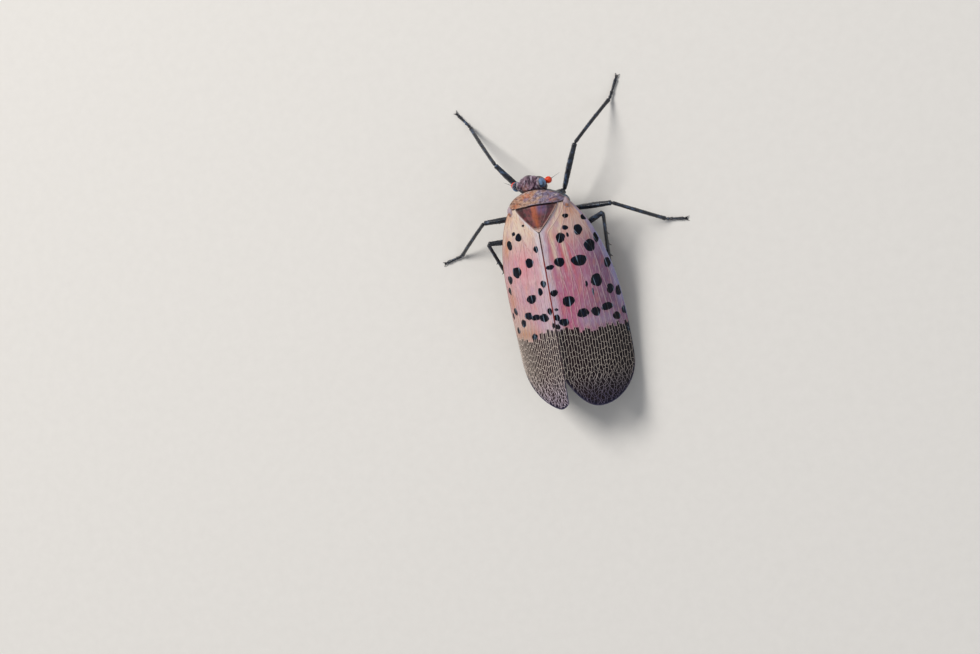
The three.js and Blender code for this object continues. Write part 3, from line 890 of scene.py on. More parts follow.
def long_veins(side, chance):
    """The long veins as distance back, lane, depth and thickness, and the wave of each."""
    levels = [(ROOT_GROUPS, WING_ROOT + 0.1)] + [(groups, fork) for groups, fork, _ in reversed(FORKS)]
    drawn = set()
    runs = []
    swings = []
    for vein in range(VEIN_COUNT):
        swings.append((chance.uniform(3.2, 5.5), chance.uniform(0, 6.28)))
        far = float(wing_end(side, column_at((vein + 0.5) / VEIN_COUNT))) - 0.03
        keys = [(groups, float(group_lane(vein, groups))) for groups, _ in levels]
        fresh = next(k for k, key in enumerate(keys) if key not in drawn)
        drawn.update(keys)
        back = np.arange(levels[fresh][1], far, PATH_STEP)
        lane = np.clip(vein_lane(vein, back, swings[-1]), FIRST_LANE, LAST_LANE)
        thick = 1.3 - 0.66 * eased(9, 12, back) - 0.06 * eased(14, 18, back)
        runs.append((back, lane, ROOT_SINK * eased(12, 9, back) - VEIN_LIFT, thick))
    return runs, swings


def cross_veins(side, chance, swings):
    """The short veins that join neighbours over the net, closer together towards the tip."""
    runs = []
    share = np.linspace(0, 1, 3)
    for vein in range(-1, VEIN_COUNT):
        lane = (vein + 1) / VEIN_COUNT
        back = float(net_start(side, np.array([lane]))[0])
        far = float(wing_end(side, column_at(lane))) - 0.15
        while back < far:
            slant = chance.uniform(-0.12, 0.12) * (1 + 1.6 * float(eased(14, 17, back)))
            near_end, far_end = back - slant, back + slant
            near_lane, far_lane = FIRST_LANE, LAST_LANE
            if vein >= 0:
                near_lane = float(vein_lane(vein, near_end, swings[vein]))
            if vein + 1 < VEIN_COUNT:
                far_lane = float(vein_lane(vein + 1, far_end, swings[vein + 1]))
            row = near_end + (far_end - near_end) * share
            row[1] += chance.uniform(-0.05, 0.05)
            lanes = near_lane + (far_lane - near_lane) * share
            runs.append((row, lanes, -VEIN_LIFT + 0 * row, CROSS_THICKNESS + 0 * row))
            back += chance.uniform(0.5, 1.05) * (1 - 0.5 * float(eased(12.5, 17, back)))
    return runs


def vein_runs(side):
    """All the veins of one wing."""
    chance = np.random.default_rng(VEIN_SEED)
    runs, swings = long_veins(side, chance)
    return runs + cross_veins(side, chance, swings)


print("veins:", {side: len(vein_runs(side)) for side in WING_SIDES})

# %% [markdown]
# The runs become loose edges on the wing's upper side. Over the net they are laid once more on its
# lower side, where they start a little further back. The tubes take their colours from their place.

# %% The veins themselves
def lines_of(runs):
    """An object of loose edges, one chain for each run of (places, thickness)."""
    starts = np.cumsum([0] + [len(places) for places, _ in runs])
    edges = [(k, k + 1) for a, b in zip(starts[:-1], starts[1:]) for k in range(a, b - 1)]
    lines = placed("vein lines", mesh_of("vein lines", np.concatenate([places for places, _ in runs]), edges))
    mark(lines, "thickness", np.concatenate([np.broadcast_to(thick, len(places)) for places, thick in runs]))
    return lines


def upper_lines(side, runs):
    """All the veins, on the wing's upper side."""
    return [(on_wing(side, back, lane, sunk), thick) for back, lane, sunk, thick in runs]


def lower_lines(side, runs):
    """The net on the wing's lower side."""
    lines = []
    for back, lane, _, thick in runs:
        kept = back > net_start(side, lane) + 0.1
        if kept.sum() > 1:
            lines.append((on_wing(side, back[kept], lane[kept], WING_SKIN + VEIN_LIFT), thick[kept]))
    return lines


def finish_veins():
    """The veins' own colour, a little waxy."""
    material, tree = new_finish("wing veins")
    patches = cloud(tree, (5000, 3000, 5000))
    stain = (ramp(tree, patches, 0.5, 0.25, 0, 0.35), shade(120, 84, 84))
    return surfaced(material, Base_Color=layered(tree, read(tree, "tint", "Color"), stain),
                    Roughness=ramp(tree, patches, 0.3, 0.7, 0.38, 0.5))


VEIN_FINISH = finish_veins()


def grow_veins(name, side, lines, radius, sides):
    """Tubes along the lines, and for each point its place, its distance back and its share across."""
    values = {"Vein radius": radius * MM, "Sides": sides, "Finish": VEIN_FINISH}
    veins = grown_by(VEIN_TREE, lines_of(lines), name + side, **values)
    places = numbers_of(veins.data.vertices, "co", 3)
    right, forward, _ = in_insect(places)
    back = -forward
    return veins, places, back, np.clip(right * WING_SIDES[side] / through(ROOF_HALF_WIDTH, back), 0, 1)


for side in WING_SIDES:
    runs = vein_runs(side)
    layouts = {"wing_veins_": upper_lines(side, runs), "wing_lower_net_": lower_lines(side, runs)}
    for title, lines in layouts.items():
        veins, places, back, across = grow_veins(title, side, lines, VEIN_RADIUS[side], 5)
        edge = inner_edge(back)
        lane = lane_at(np.clip((across - edge) / (1 - edge), 0, 1))
        tint(veins, vein_colours(side, back, lane, spot_field(side, places, back)))
        finish_piece(veins, VEIN_FINISH, "wing", "forewing_" + side)

# %% [markdown]
# Every wing is bound by a stronger vein: dark red where the two wings meet, pale blue-grey along
# the front edge, and nearly black round the tip. The same tree makes it from one closed run.

# %% The border veins
BORDER_RADIUS = 0.062
BORDER_DEPTH = 0.03
TIP_STEPS = 90


def border_run(side):
    """Back and lane along the wing's whole outline."""
    inner_back = np.arange(WING_ROOT, float(wing_end(side, 0.0)), PATH_STEP)
    tip_lane = np.linspace(0, 1, TIP_STEPS)
    outer_back = np.arange(float(wing_end(side, 1.0)), WING_ROOT, -PATH_STEP)
    back = np.concatenate([inner_back, wing_end(side, column_at(tip_lane)), outer_back])
    return back, np.concatenate([0 * inner_back, tip_lane, 1 + 0 * outer_back])


def border_colours(side, back, lane):
    """Red at the ridge, pale at the front edge and dark at the tip."""
    inner = mixed(shade(58, 34, 34), shade(132, 30, 28), eased(1.5, 3.5, back))
    inner = painted(inner, (48, 34, 40, eased(9, 10, back)))
    front = mixed(shade(176, 150, 156), shade(150, 150, 186), eased(-2, 1, back))
    if side == "left":
        front = shade(186, 144, 124) + 0 * front
    outer = painted(front, (44, 42, 66, eased(9.5, 11.5, back)))
    return painted(mixed(inner, outer, eased(0.2, 0.5, lane)), (52, 50, 78, eased(15, 17.5, back)))


for side in WING_SIDES:
    back, lane = border_run(side)
    thick = 0.9 + 0.2 * (lane > 0.9) * eased(12, 8, back)
    run = [(on_wing(side, back, lane, BORDER_DEPTH), thick)]
    border, _, back, across = grow_veins("wing_border_", side, run, BORDER_RADIUS, 8)
    tint(border, border_colours(side, back, across))
    finish_piece(border, VEIN_FINISH, "wing", "forewing_" + side)

# %% [markdown]
# ## The hindwings
# Folded under the forewings lie two softer wings, red with black spots in front, then a white band
# and a black tip. Little of them shows, and only from below, but they close the roof from inside.

# %% The hindwings
HIND_ROOT = 0.3
HIND_SHORTER = 2.6
HIND_DEPTH = 0.62
HIND_SKIN = 0.08
HIND_REACH = 0.84
HIND_INSET = 0.25
HIND_ROWS = 120
HIND_LANES = 150


def hindwing_surface(side, back, lane, depth):
    """A place on the folded hindwing, which is laid in pleats."""
    edge = inner_edge(back) + HIND_INSET / through(ROOF_HALF_WIDTH, back)
    pleat = 0.03 * np.sin(lane * 60) * eased(0, 0.1, lane) * eased(0, 0.1, 1 - lane) * eased(1.0, 3.5, back)
    return roof_point(side, back, edge + (HIND_REACH - edge) * column_at(lane), depth + pleat + 0.05)


def build_hindwing(side):
    """One folded hindwing."""
    back, lane = wing_grid(side, HIND_ROWS, HIND_LANES, HIND_ROOT, HIND_SHORTER)
    top = hindwing_surface(side, back, lane, HIND_DEPTH)
    bottom = hindwing_surface(side, back, lane, HIND_DEPTH + HIND_SKIN)
    colour = mixed(shade(196, 36, 30), shade(226, 220, 210), eased(8.0, 8.8, back + 0.5 * np.sin(lane * 9)))
    spots = eased(0.55, 0.75, waves(stacked(back, lane * 7), 2.6, 8)) * (back < 8)
    tip = eased(11.0, 11.8, back + 0.6 * np.sin(lane * 7))
    colour = painted(colour, (26, 24, 28, tip), (22, 18, 22, spots))
    colour = mixed(shade(52, 26, 26), colour, eased(0.2, 2.2, back))
    return slab("folded_hindwing_" + side, top, bottom, colour, 1)


def finish_hindwing():
    """Soft membrane with fine folds, painted darker in their creases as shade."""
    material, tree = new_finish("hindwing membrane")
    folds = cloud(tree, (7000, 700, 7000))
    # The creases of the folds are painted darker: painted shade.
    painted_crease_shade = (ramp(tree, folds, 0.5, 0.2, 0, 0.5), shade(60, 20, 22))
    return surfaced(material, Base_Color=layered(tree, read(tree, "tint", "Color"), painted_crease_shade),
                    Roughness=ramp(tree, folds, 0.3, 0.7, 0.4, 0.6), Normal=bumped(tree, folds, 0.00004))


HINDWING_FINISH = finish_hindwing()
for side in WING_SIDES:
    finish_piece(build_hindwing(side), HINDWING_FINISH, "hindwing", "hindwing_" + side)

# %% [markdown]
# ## The plates of the back
# Behind the head lies a collar, the pronotum, with a fine keel along its middle, a pit at each side
# of it and a rolled rim. The shield behind it is a triangle with three keels. Both are slabs whose
# upper side is lifted by soft hills where the keels run and by small waves where the shell puckers.

# %% The collar behind the head
COLLAR_HALF_WIDTH = 3.12
COLLAR_FRONT = 4.6
COLLAR_HIND = 3.0
COLLAR_THICKNESS = 0.4
COLLAR_EDGE = 0.12
COLLAR_SUNK = 0.08
COLLAR_ROWS = 91
COLLAR_COLUMNS = 221


def collar_hind(right):
    """The collar's hind edge, which is nearly straight."""
    return COLLAR_HIND - 0.05 * np.abs(right)


def collar_height(right, forward):
    """The collar's upper side without its relief."""
    share = (forward - COLLAR_HIND) / (COLLAR_FRONT - COLLAR_HIND)
    return 0.08 - 0.12 * right * right - 0.32 * share * share


def collar_relief(right, forward, across, along):
    """Keel, pits, side folds, rolled rims and puckers, in millimetres."""
    middle = ridge(right, 0.05) * eased(0.05, 0.2, along) * eased(0, 0.12, 1 - along)
    pits = bump_at(np.abs(right), 0.42, 0.13) * bump_at(along, 0.52, 0.16)
    fold = ridge(forward - (3.25 + 0.28 * (np.abs(right) - 1.1)), 0.07) * eased(1.0, 1.4, np.abs(right))
    hollow = bump_at(np.abs(right), 1.45, 0.5) * bump_at(along, 0.62, 0.22)
    shape = 0.05 * middle - 0.07 * pits + 0.045 * fold - 0.06 * hollow
    shape = shape + 0.05 * ridge(along - 0.96, 0.05) + 0.035 * ridge(along - 0.04, 0.05)
    flat = stacked(right, forward)
    puckers = 0.018 * waves(flat * [1, 1.7], 0.55, 3) + 0.008 * waves(flat, 0.17, 4, 16)
    rim = eased(0, 0.04, np.minimum(along, 1 - along)) * eased(0, 0.02, 1 - np.abs(across))
    return (shape + puckers) * rim - 0.09 * (1 - rim)


def collar_colours(right, forward, along):
    """Dusty rose-brown with rusty patches, a greyer right side and a dark hind line."""
    flat = stacked(right, forward)
    greyer = eased(-0.7, 0.9, 0.6 * waves(flat * [0.8, 1.6], 1.1, 9) + 0.5 * right)
    rust = bump_at(right, -0.75, 0.75) * bump_at(along, 0.72, 0.22)
    rust += bump_at(right, -2.3, 0.5) * bump_at(along, 0.25, 0.3)
    rust += 0.6 * bump_at(right, 1.9, 0.4) * bump_at(along, 0.3, 0.2)
    rust = np.clip(rust * (0.8 + 0.5 * waves(flat, 0.4, 2)), 0, 1)
    pale = bump_at(along, 0.93, 0.06) * eased(-0.3, 0.6, waves(flat, 0.8, 6))
    cracks = ridge(waves(flat * [1, 1.5], 1.0, 61), 0.07) * eased(-0.2, 0.6, waves(flat, 1.3, 62))
    specks = eased(0.9, 1.25, waves(flat, 0.22, 12, 14)) * eased(0.03, 0.2, along)
    hind = ridge(along - 0.015, 0.045) * eased(-0.9, -0.2, waves(flat, 0.9, 15))
    return painted(mixed(shade(182, 142, 118), shade(132, 120, 148), greyer),
                   (104, 74, 72, 0.6 * eased(0.3, 1.0, waves(flat * [1, 1.4], 0.55, 63))),
                   (196, 102, 48, 0.8 * rust), (196, 170, 164, 0.5 * pale), (222, 206, 198, 0.75 * cracks),
                   (44, 34, 38, 0.75 * specks), (26, 18, 20, hind),
                   (40, 32, 38, 0.8 * ridge(along - 1.0, 0.03)))


def build_collar():
    """The collar as one slab."""
    across = np.sin(np.linspace(-1, 1, COLLAR_COLUMNS)[None, :] * math.pi / 2)
    along = np.linspace(0, 1, COLLAR_ROWS)[:, None]
    right = COLLAR_HALF_WIDTH * across
    front = COLLAR_FRONT - 0.1 * right * right
    hind = collar_hind(right)
    lobe = np.sqrt(np.maximum(1 - np.abs(across) ** 9, 0.002))
    forward = (front + hind) / 2 + (front - hind) * lobe * (along - 0.5)
    across, along, right = np.broadcast_arrays(across, along, right)
    height = collar_height(right, forward)
    top = in_row(right, forward, height + collar_relief(right, forward, across, along))
    inward = eased(0, 0.35, along) * eased(0, 0.45, 1 - along) * eased(0, 0.15, 1 - np.abs(across))
    thickness = COLLAR_EDGE + (COLLAR_THICKNESS - COLLAR_EDGE) * inward
    bottom = in_row(right, forward, height - COLLAR_SUNK - thickness)
    return slab("collar", top, bottom, collar_colours(right, forward, along))


def finish_plates(name, coat, dark, light, bloom):
    """Shell with grain, random darker tone, painted shade in its pits and a touch of wax, over the painted
    colours.
    """
    material, tree = new_finish(name)
    grain = place_group(tree, GRAIN, Scale=11000.0, Pits=0.5)
    wax = place_group(tree, BLOOM, Scale=2600.0, Amount=bloom)
    colour = layered(
        tree, read(tree, "tint", "Color"),
        (ramp(tree, grain["Tone"], 0.52, 0.3, 0, 0.4), dark),
        (ramp(tree, grain["Tone"], 0.55, 0.75, 0, 0.22), light),
        # The pits of the grain are painted darker: painted shade in the recesses.
        (times(tree, grain["Pit"], 0.3), dark),
        (times(tree, wax["Mask"], 0.7), shade(150, 166, 200)),
    )
    return grained(material, grain, colour, (0.36, 0.58), 0.00002, 0.8, Coat_Weight=coat, Coat_Roughness=0.35)


COLLAR_FINISH = finish_plates("collar shell", 0.1, shade(84, 56, 56), shade(216, 190, 178), 0.33)
finish_piece(build_collar(), COLLAR_FINISH, "plate", "pronotum")

# %% The shield between the wings
SHIELD_THICKNESS = 0.42
SHIELD_TIP = 0.06
SHIELD_ROWS = 101
SHIELD_COLUMNS = 141


def shield_relief(across, along):
    """Three keels, a rolled side rim and cross puckers at the tip."""
    width = shield_half_width(SHIELD_LENGTH * along)
    middle = ridge(across * width, 0.06) * eased(0.02, 0.15, along)
    bow = 0.56 + 0.1 * np.sin(math.pi * along)
    sides = ridge((np.abs(across) - bow) * width, 0.07) * eased(0.12, 0.35, along)
    rim = ridge(1 - np.abs(across), 0.05)
    hollow = bump_at(np.abs(across), 0.3, 0.17) * bump_at(along, 0.66, 0.24)
    cross = bump_at(along, 0.12, 0.12) * np.sin(along * 95)
    shape = 0.045 * middle + 0.04 * sides + 0.05 * rim - 0.06 * hollow + 0.012 * cross
    fade = eased(0, 0.03, np.minimum(along, 1 - along)) * eased(0, 0.03, 1 - np.abs(across))
    return shape * fade - 0.06 * (1 - fade) - 0.1 * eased(0.94, 1, along)


def shield_colours(right, across, along):
    """Wine red with a rusty middle, a violet front and a pale tip and rim."""
    cloudy = waves(stacked(right, SHIELD_LENGTH * along), 0.7, 21)
    violet = eased(0.55, 0.85, along) * bump_at(right, 0.55, 0.75)
    beside = 0.7 * bump_at(right, -0.32, 0.12) * eased(0.3, 0.6, along)
    rust = bump_at(right, 0.0, 0.2 + 0.12 * along) + beside
    rust = np.clip(rust * eased(0.02, 0.3, along), 0, 1)
    streak = bump_at(np.abs(right), 0.85 * along, 0.09) * eased(0.1, 0.3, along)
    corner = eased(0.5, 0.95, along) * eased(0.45, 0.8, np.abs(across))
    rim = ridge(1 - np.abs(across), 0.06 + 0.16 * eased(0.5, 0.1, along))
    return painted(mixed(shade(108, 44, 50), shade(66, 24, 30), eased(-0.5, 0.9, cloudy)),
                   (112, 92, 138, 0.85 * violet), (186, 98, 58, 0.85 * rust), (150, 80, 72, 0.5 * streak),
                   (44, 14, 20, 0.7 * corner), (206, 164, 150, 0.8 * rim),
                   (226, 196, 182, 0.9 * eased(0.22, 0.03, along)), (40, 22, 28, ridge(1 - along, 0.035)))


def build_shield():
    """The shield as one slab, narrowing to its tip."""
    across = np.linspace(-1, 1, SHIELD_COLUMNS)[None, :]
    along = np.linspace(0, 1, SHIELD_ROWS)[:, None]
    right = shield_half_width(SHIELD_TIP + (SHIELD_LENGTH - SHIELD_TIP) * along) * across
    forward = SHIELD_TIP + (collar_hind(right) - SEAM - SHIELD_TIP) * along
    across, along = np.broadcast_arrays(across, along)
    height = (0.1 + 0.06 * np.sin(math.pi * along)) * along - 0.11 * right * right
    top = in_row(right, forward, height + shield_relief(across, along))
    bottom = in_row(right, forward, height - SHIELD_THICKNESS)
    return slab("shield", top, bottom, shield_colours(right, across, along))


SHIELD_FINISH = finish_plates("shield shell", 0.25, shade(48, 20, 26), shade(170, 110, 96), 0.28)
finish_piece(build_shield(), SHIELD_FINISH, "scutellum", "scutellum")

# %% [markdown]
# At each end of the collar a small scale covers the wing's hinge. It is an ellipsoid with a flange,
# made as a loft: rings round an axis, with each ring's size taken from a circle.

# %% The scales over the wing hinges
SCALE_PLACE = (3.1, 2.72, -1.29)
SCALE_RADII = (0.4, 0.6, 0.32)
FLAT_BELOW = -0.12


def ball_ways(rows=48, around=64):
    """Unit directions of a ball's rings, from its back pole to its front pole."""
    polar = np.linspace(0.02, math.pi - 0.02, rows)[:, None]
    turn = np.linspace(0, 2 * math.pi, around, endpoint=False)[None, :]
    return stacked(np.sin(polar) * np.cos(turn), -np.cos(polar), np.sin(polar) * np.sin(turn))


def swollen(form, size):
    """Places times a size for each."""
    return form * size[..., None]


def build_hinge_scale(side, sign):
    """A small shell with a flange at its lower edge and fine puckers."""
    way = ball_ways(60, 80)
    form = way * SCALE_RADII
    flange = 1 + 0.12 * bump_at(way[..., 2], -0.25, 0.16)
    form = swollen(swollen(form, flange), 1 + 0.02 * waves(form, 0.3, 31))
    x, y, z = np.moveaxis(form, -1, 0)
    z = np.where(z < FLAT_BELOW, FLAT_BELOW + 0.6 * (z - FLAT_BELOW), z)
    cloudy = waves(stacked(x, y, z), 0.5, 33)
    colour = painted(mixed(shade(172, 150, 160), shade(176, 118, 92), eased(0.0, 1.2, cloudy)),
                     (50, 40, 50, 0.85 * bump_at(way[..., 2], -0.3, 0.14)))
    rings = in_row(sign * (SCALE_PLACE[0] + x), SCALE_PLACE[1] + y, z + SCALE_PLACE[2])
    return loft("hinge_scale_" + side, rings, colour)


for side, sign in WING_SIDES.items():
    finish_piece(build_hinge_scale(side, sign), COLLAR_FINISH, "plate", "tegula_" + side)

# %% [markdown]
# ## The head
# The head is short and blunt, wider than long, with a hollow crown between raised rims, a stubby
# process turned up in front, and a long face that runs down to the beak. It is one skin: rings
# from the middle of the crown outwards and then down the face, shaped by stations for its width,
# front and back. Keels, cheeks and the process are then pushed out of that skin, so no seam shows,
# and a cup holds each eye. The skin gets the finest grid, since people look at it first.

# %% The head's skin
HEAD_SHIFT = -0.4
HEAD_HALF_WIDTH = [(0, 0.7), (0.12, 1.0), (0.35, 1.2), (0.6, 1.22), (0.78, 1.0), (0.9, 0.6), (1, 0.36)]
HEAD_FRONT = [(0, 5.8), (0.12, 6.12), (0.4, 6.08), (0.75, 5.65), (1, 4.95)]
HEAD_BACK = [(0, 4.66), (0.2, 4.2), (0.6, 4.2), (1, 4.2)]
HEAD_TOP = -0.5
HEAD_BOTTOM = -4.75
HEAD_AROUND = 200
CROWN_RINGS = 36
FACE_RINGS = 130
PROCESS_PUSHES = [
    ((0, 6.0, -0.78), (0.36, 0.42, 0.4), (0, 0.1, 0.46)),
    ((0, 6.12, -0.34), (0.2, 0.2, 0.22), (0, 0.02, 0.1)),
]
CHEEK_PUSHES = [
    ((1.0, 5.2, -0.95), (0.42, 0.62, 0.5), (0.42, 0, 0.02)),
    ((1.2, 5.42, -1.7), (0.36, 0.34, 0.34), (0.42, 0.02, 0)),
    ((1.2, 5.0, -2.6), (0.3, 0.6, 0.5), (0.12, 0, 0)),
]


def on_head(places):
    """Row frame places of places that count from the head's own middle."""
    return in_row(HEAD_SHIFT + places[..., 0], places[..., 1], places[..., 2])


def head_form():
    """The head's points as right, forward and height, with their level, ring size and angle."""
    around = np.linspace(0, 2 * math.pi, HEAD_AROUND, endpoint=False)[None, :]
    crown = np.linspace(0.03, 1, CROWN_RINGS)[:-1, None]
    face = np.linspace(0, 1, FACE_RINGS)[:, None]
    level = np.concatenate([0 * crown, face])
    shrink = np.concatenate([crown, 1 + 0 * face])
    square = (np.abs(np.cos(around)) ** 3 + np.abs(np.sin(around)) ** 3) ** (-1 / 3)
    square = 1 + (square - 1) * 0.5
    low, high = through(HEAD_BACK, level), through(HEAD_FRONT, level)
    right = np.cos(around) * square * through(HEAD_HALF_WIDTH, level) * shrink
    forward = (low + high) / 2 + np.sin(around) * square * (high - low) / 2 * shrink
    height = HEAD_TOP + (HEAD_BOTTOM - HEAD_TOP) * level - 0.12 * (forward - 5.3) * eased(0.1, 0, level)
    round_off = 0.1 * eased(0.75, 1, shrink) * eased(0.05, 0, level)
    return right, forward, height - round_off, level, shrink, around + 0 * level


def pushed(places, centre, reach, way, sign=1):
    """Moves the places near a centre by a vector, fading out over the reach, on one side or mirrored."""
    mirror = np.array([sign, 1, 1])
    share = np.exp(-(((places - centre * mirror) / reach) ** 2).sum(axis=-1))
    return places + share[..., None] * (way * mirror)


def face_relief(right, level, around):
    """How far the face stands out: keels and hollows, sutures and the swollen clypeus."""
    facing = eased(0.05, 0.4, np.sin(around))
    on_face = facing * eased(0.11, 0.17, level) * eased(0.76, 0.7, level)
    bow = 0.42 * np.sin(math.pi * (level + 0.1) / 0.9)
    keels = ridge(right, 0.05) + 0.8 * ridge(np.abs(right) - bow, 0.05)
    margin = ridge(np.abs(np.cos(around)) - 0.72, 0.06) * eased(0.1, 0.16, level) * eased(0.76, 0.68, level)
    hollow = on_face * eased(0, 0.25, 0.72 - np.abs(np.cos(around)))
    brow = ridge(level - 0.12, 0.016) * facing
    suture = ridge(level - 0.77, 0.012) * eased(-0.2, 0.3, np.sin(around))
    clypeus = bump_at(level, 0.87, 0.06) * bump_at(right, 0, 0.4) * facing
    ribs = bump_at(level, 0.87, 0.07) * np.sin(level * 260) * facing
    cheek = ridge(np.sin(around) + 0.15, 0.1) * eased(0.3, 0.4, level) * eased(0.8, 0.7, level)
    shape = 0.13 * keels * on_face + 0.15 * margin * facing - 0.08 * hollow + 0.1 * brow
    return shape - 0.07 * suture + 0.1 * clypeus + 0.01 * ribs + 0.06 * cheek


def crown_relief(right, forward, shrink):
    """How high the crown stands: a raised rim, a hollow inside it, and keels that fan out."""
    inside = eased(0.9, 0.75, shrink)
    fans = ridge(np.abs(right) - 0.22 - 0.3 * (6.0 - forward), 0.045)
    rim = 0.13 * ridge(shrink - 0.88, 0.08) - 0.2 * eased(0.85, 0.5, shrink)
    return rim + (0.09 * ridge(right, 0.05) + 0.07 * fans) * inside


def head_colours(places, level, socket=0.0):
    """Violet-brown on the crown with pale lilac patches painted as highlights, black-brown down the face, with
    pale rims and orange cheeks.
    """
    right, forward, height = np.moveaxis(places, -1, 0)
    cloudy = waves(places, 0.5, 51)
    drawn_out = places * [1.0, 0.55, 1.0]
    # The pale lilac patches on the crown are painted highlights of its bumps.
    crown = painted(mixed(shade(134, 104, 122), shade(86, 60, 78), eased(-0.4, 0.8, cloudy)),
                    (204, 188, 206, 0.9 * eased(0.25, 0.9, waves(drawn_out, 0.42, 52))),
                    (34, 20, 32, 0.9 * eased(0.4, 0.9, waves(drawn_out, 0.4, 53))),
                    (176, 110, 84, 0.6 * bump_at(right, -0.5, 0.3) * bump_at(forward, 4.8, 0.5)))
    face = painted(mixed(shade(52, 46, 56), shade(20, 17, 24), eased(-0.5, 0.8, cloudy)),
                   (112, 118, 140, 0.5 * eased(0.4, 1.2, waves(places * [1, 1, 0.5], 0.35, 54))))
    tip_dark = bump_at(right, 0, 0.3) * eased(5.95, 6.2, forward) * eased(0.3, 0.2, level)
    cheek = bump_at(np.abs(right), 1.3, 0.25) * bump_at(height, -1.75, 0.3)
    keel = ridge(right, 0.05) * eased(0.75, 0.6, level)
    return painted(mixed(crown, face, eased(0.08, 0.22, level)), (40, 26, 34, 0.6 * tip_dark),
                   (170, 84, 52, 0.5 * cheek), (156, 136, 144, 0.45 * keel), (198, 186, 176, 0.7 * socket))


def build_head():
    """The head as one skin."""
    right, forward, height, level, shrink, around = head_form()
    out = face_relief(right, level, around) * np.where(shrink < 1, 0, 1)
    crown = eased(0.04, 0.0, level)
    raised = height + crown_relief(right, forward, shrink) * crown
    places = stacked(right + np.cos(around) * out * 0.6, forward + np.sin(around) * out, raised)
    for push in PROCESS_PUSHES:
        places = pushed(places, *push)
    for sign in (1, -1):
        for push in CHEEK_PUSHES:
            places = pushed(places, *push, sign)
    warts = 0.008 * waves(places, 0.26, 41, 14) + 0.007 * waves(places, 0.1, 42, 18)
    places = places + warts[..., None] * stacked(np.cos(around) * shrink, np.sin(around) * shrink, crown)
    return loft("head_skin", on_head(places), head_colours(places, level))


HEAD_FINISH = finish_plates("head shell", 0.15, shade(30, 20, 30), shade(170, 150, 168), 0.34)
finish_piece(build_head(), HEAD_FINISH, "head", "head")

# %% The eye sockets
EYE = dict(right=1.42, forward=5.25, height=-0.75, radii=(0.46, 0.5, 0.54))
SOCKET_INWARD = 0.02


def build_socket(side, sign):
    """A cup that joins the eye to the head, open outwards, with a rolled pale rim."""
    way = ball_ways(70, 90)
    out = way[..., 1]
    size = 1.1 - 0.4 * eased(-0.34, -0.12, out) + 0.03 * bump_at(out, -0.4, 0.08)
    longer = 1 + 0.5 * eased(-0.4, -1, out)
    form = swollen(stacked(sign * out * longer, way[..., 0], way[..., 2]), size) * EYE["radii"]
    form = swollen(form, 1 + 0.02 * waves(form, 0.3, 56) + 0.012 * waves(form, 0.12, 57))
    places = form + [sign * (EYE["right"] - SOCKET_INWARD), EYE["forward"], EYE["height"]]
    level = 0.3 - 0.2 * eased(-0.5, 0.1, way[..., 2])
    colours = head_colours(places, level, 0.8 * bump_at(out, -0.36, 0.07))
    return loft("eye_socket_" + side, on_head(places), colours)


for side, sign in WING_SIDES.items():
    finish_piece(build_socket(side, sign), HEAD_FINISH, "head", "head")

# %% [markdown]
# A compound eye is a dome of hundreds of small lenses. They repeat, so Geometry Nodes set a small
# ball on every point of an even spiral over the eye. Each ball is sunk, so only its cap shows, and
# the cuticle between the caps is one smooth dark ellipsoid.

# %% A tree that sets one small form on every point
def random_size(tree, smallest, largest, seed):
    """A random number for each point."""
    inputs = {2: smallest, 3: largest, "Seed": seed}
    return node(tree, "FunctionNodeRandomValue", inputs, data_type="FLOAT").outputs[1]


def build_studding_tree():
    """Points in, small balls out."""
    tree, given = new_tree("small balls on points", Ball_radius=0.03 * MM, Uneven_sizes=0.1, Seed=7)
    smallest = sum_of(tree, "SUBTRACT", 1.0, given["Uneven sizes"])
    ball = {"Radius": given["Ball radius"], "Subdivisions": 2}
    balls = node(tree, "GeometryNodeInstanceOnPoints", {
        "Points": node(tree, "GeometryNodeMeshToPoints", {"Mesh": given["Geometry"]}).outputs["Points"],
        "Instance": node(tree, "GeometryNodeMeshIcoSphere", ball).outputs["Mesh"],
        "Scale": random_size(tree, smallest, 1.0, given["Seed"]),
    })
    return end_tree(tree, balls.outputs["Instances"], given["Finish"])


STUDDING_TREE = build_studding_tree()


def even_spiral(count):
    """Unit directions spread evenly over a ball."""
    k = np.arange(count) + 0.5
    level = 1 - 2 * k / count
    turn = k * math.pi * (1 + math.sqrt(5))
    flat = np.sqrt(1 - level * level)
    return stacked(flat * np.cos(turn), flat * np.sin(turn), level)


def studs(name, places, radius, uneven, seed, finish):
    """Small balls at the places, as one piece."""
    values = {"Ball radius": radius * MM, "Uneven sizes": uneven, "Seed": seed, "Finish": finish}
    return grown_by(STUDDING_TREE, placed("dots", mesh_of("dots", places)), name, **values)


print("the studding tree has", len(STUDDING_TREE.nodes), "nodes")

# %% The eyes
LENS_COUNT = 1300
LENS_RADIUS = 0.036
LENS_SUNK = 0.022


def eye_place(sign, form):
    """A place on an eye, by its offset from the eye's middle."""
    right = sign * (EYE["right"] + form[..., 0])
    return on_head(stacked(right, EYE["forward"] + form[..., 1], EYE["height"] + form[..., 2]))


def finish_eye():
    """Dark glassy blue with paler bluish bands, partly banding and partly a painted sheen."""
    material, tree = new_finish("eye")
    belt_and_sheen = cloud(tree, (900, 900, 2600))
    # The paler bluish bands are partly the eye's banding and partly a painted sheen.
    colour = layered(tree, shade(24, 32, 54), (ramp(tree, belt_and_sheen, 0.4, 0.62), shade(100, 136, 178)))
    return surfaced(material, Base_Color=colour, Roughness=ramp(tree, belt_and_sheen, 0.3, 0.7, 0.2, 0.34),
                    Coat_Weight=0.6, Coat_Roughness=0.12)


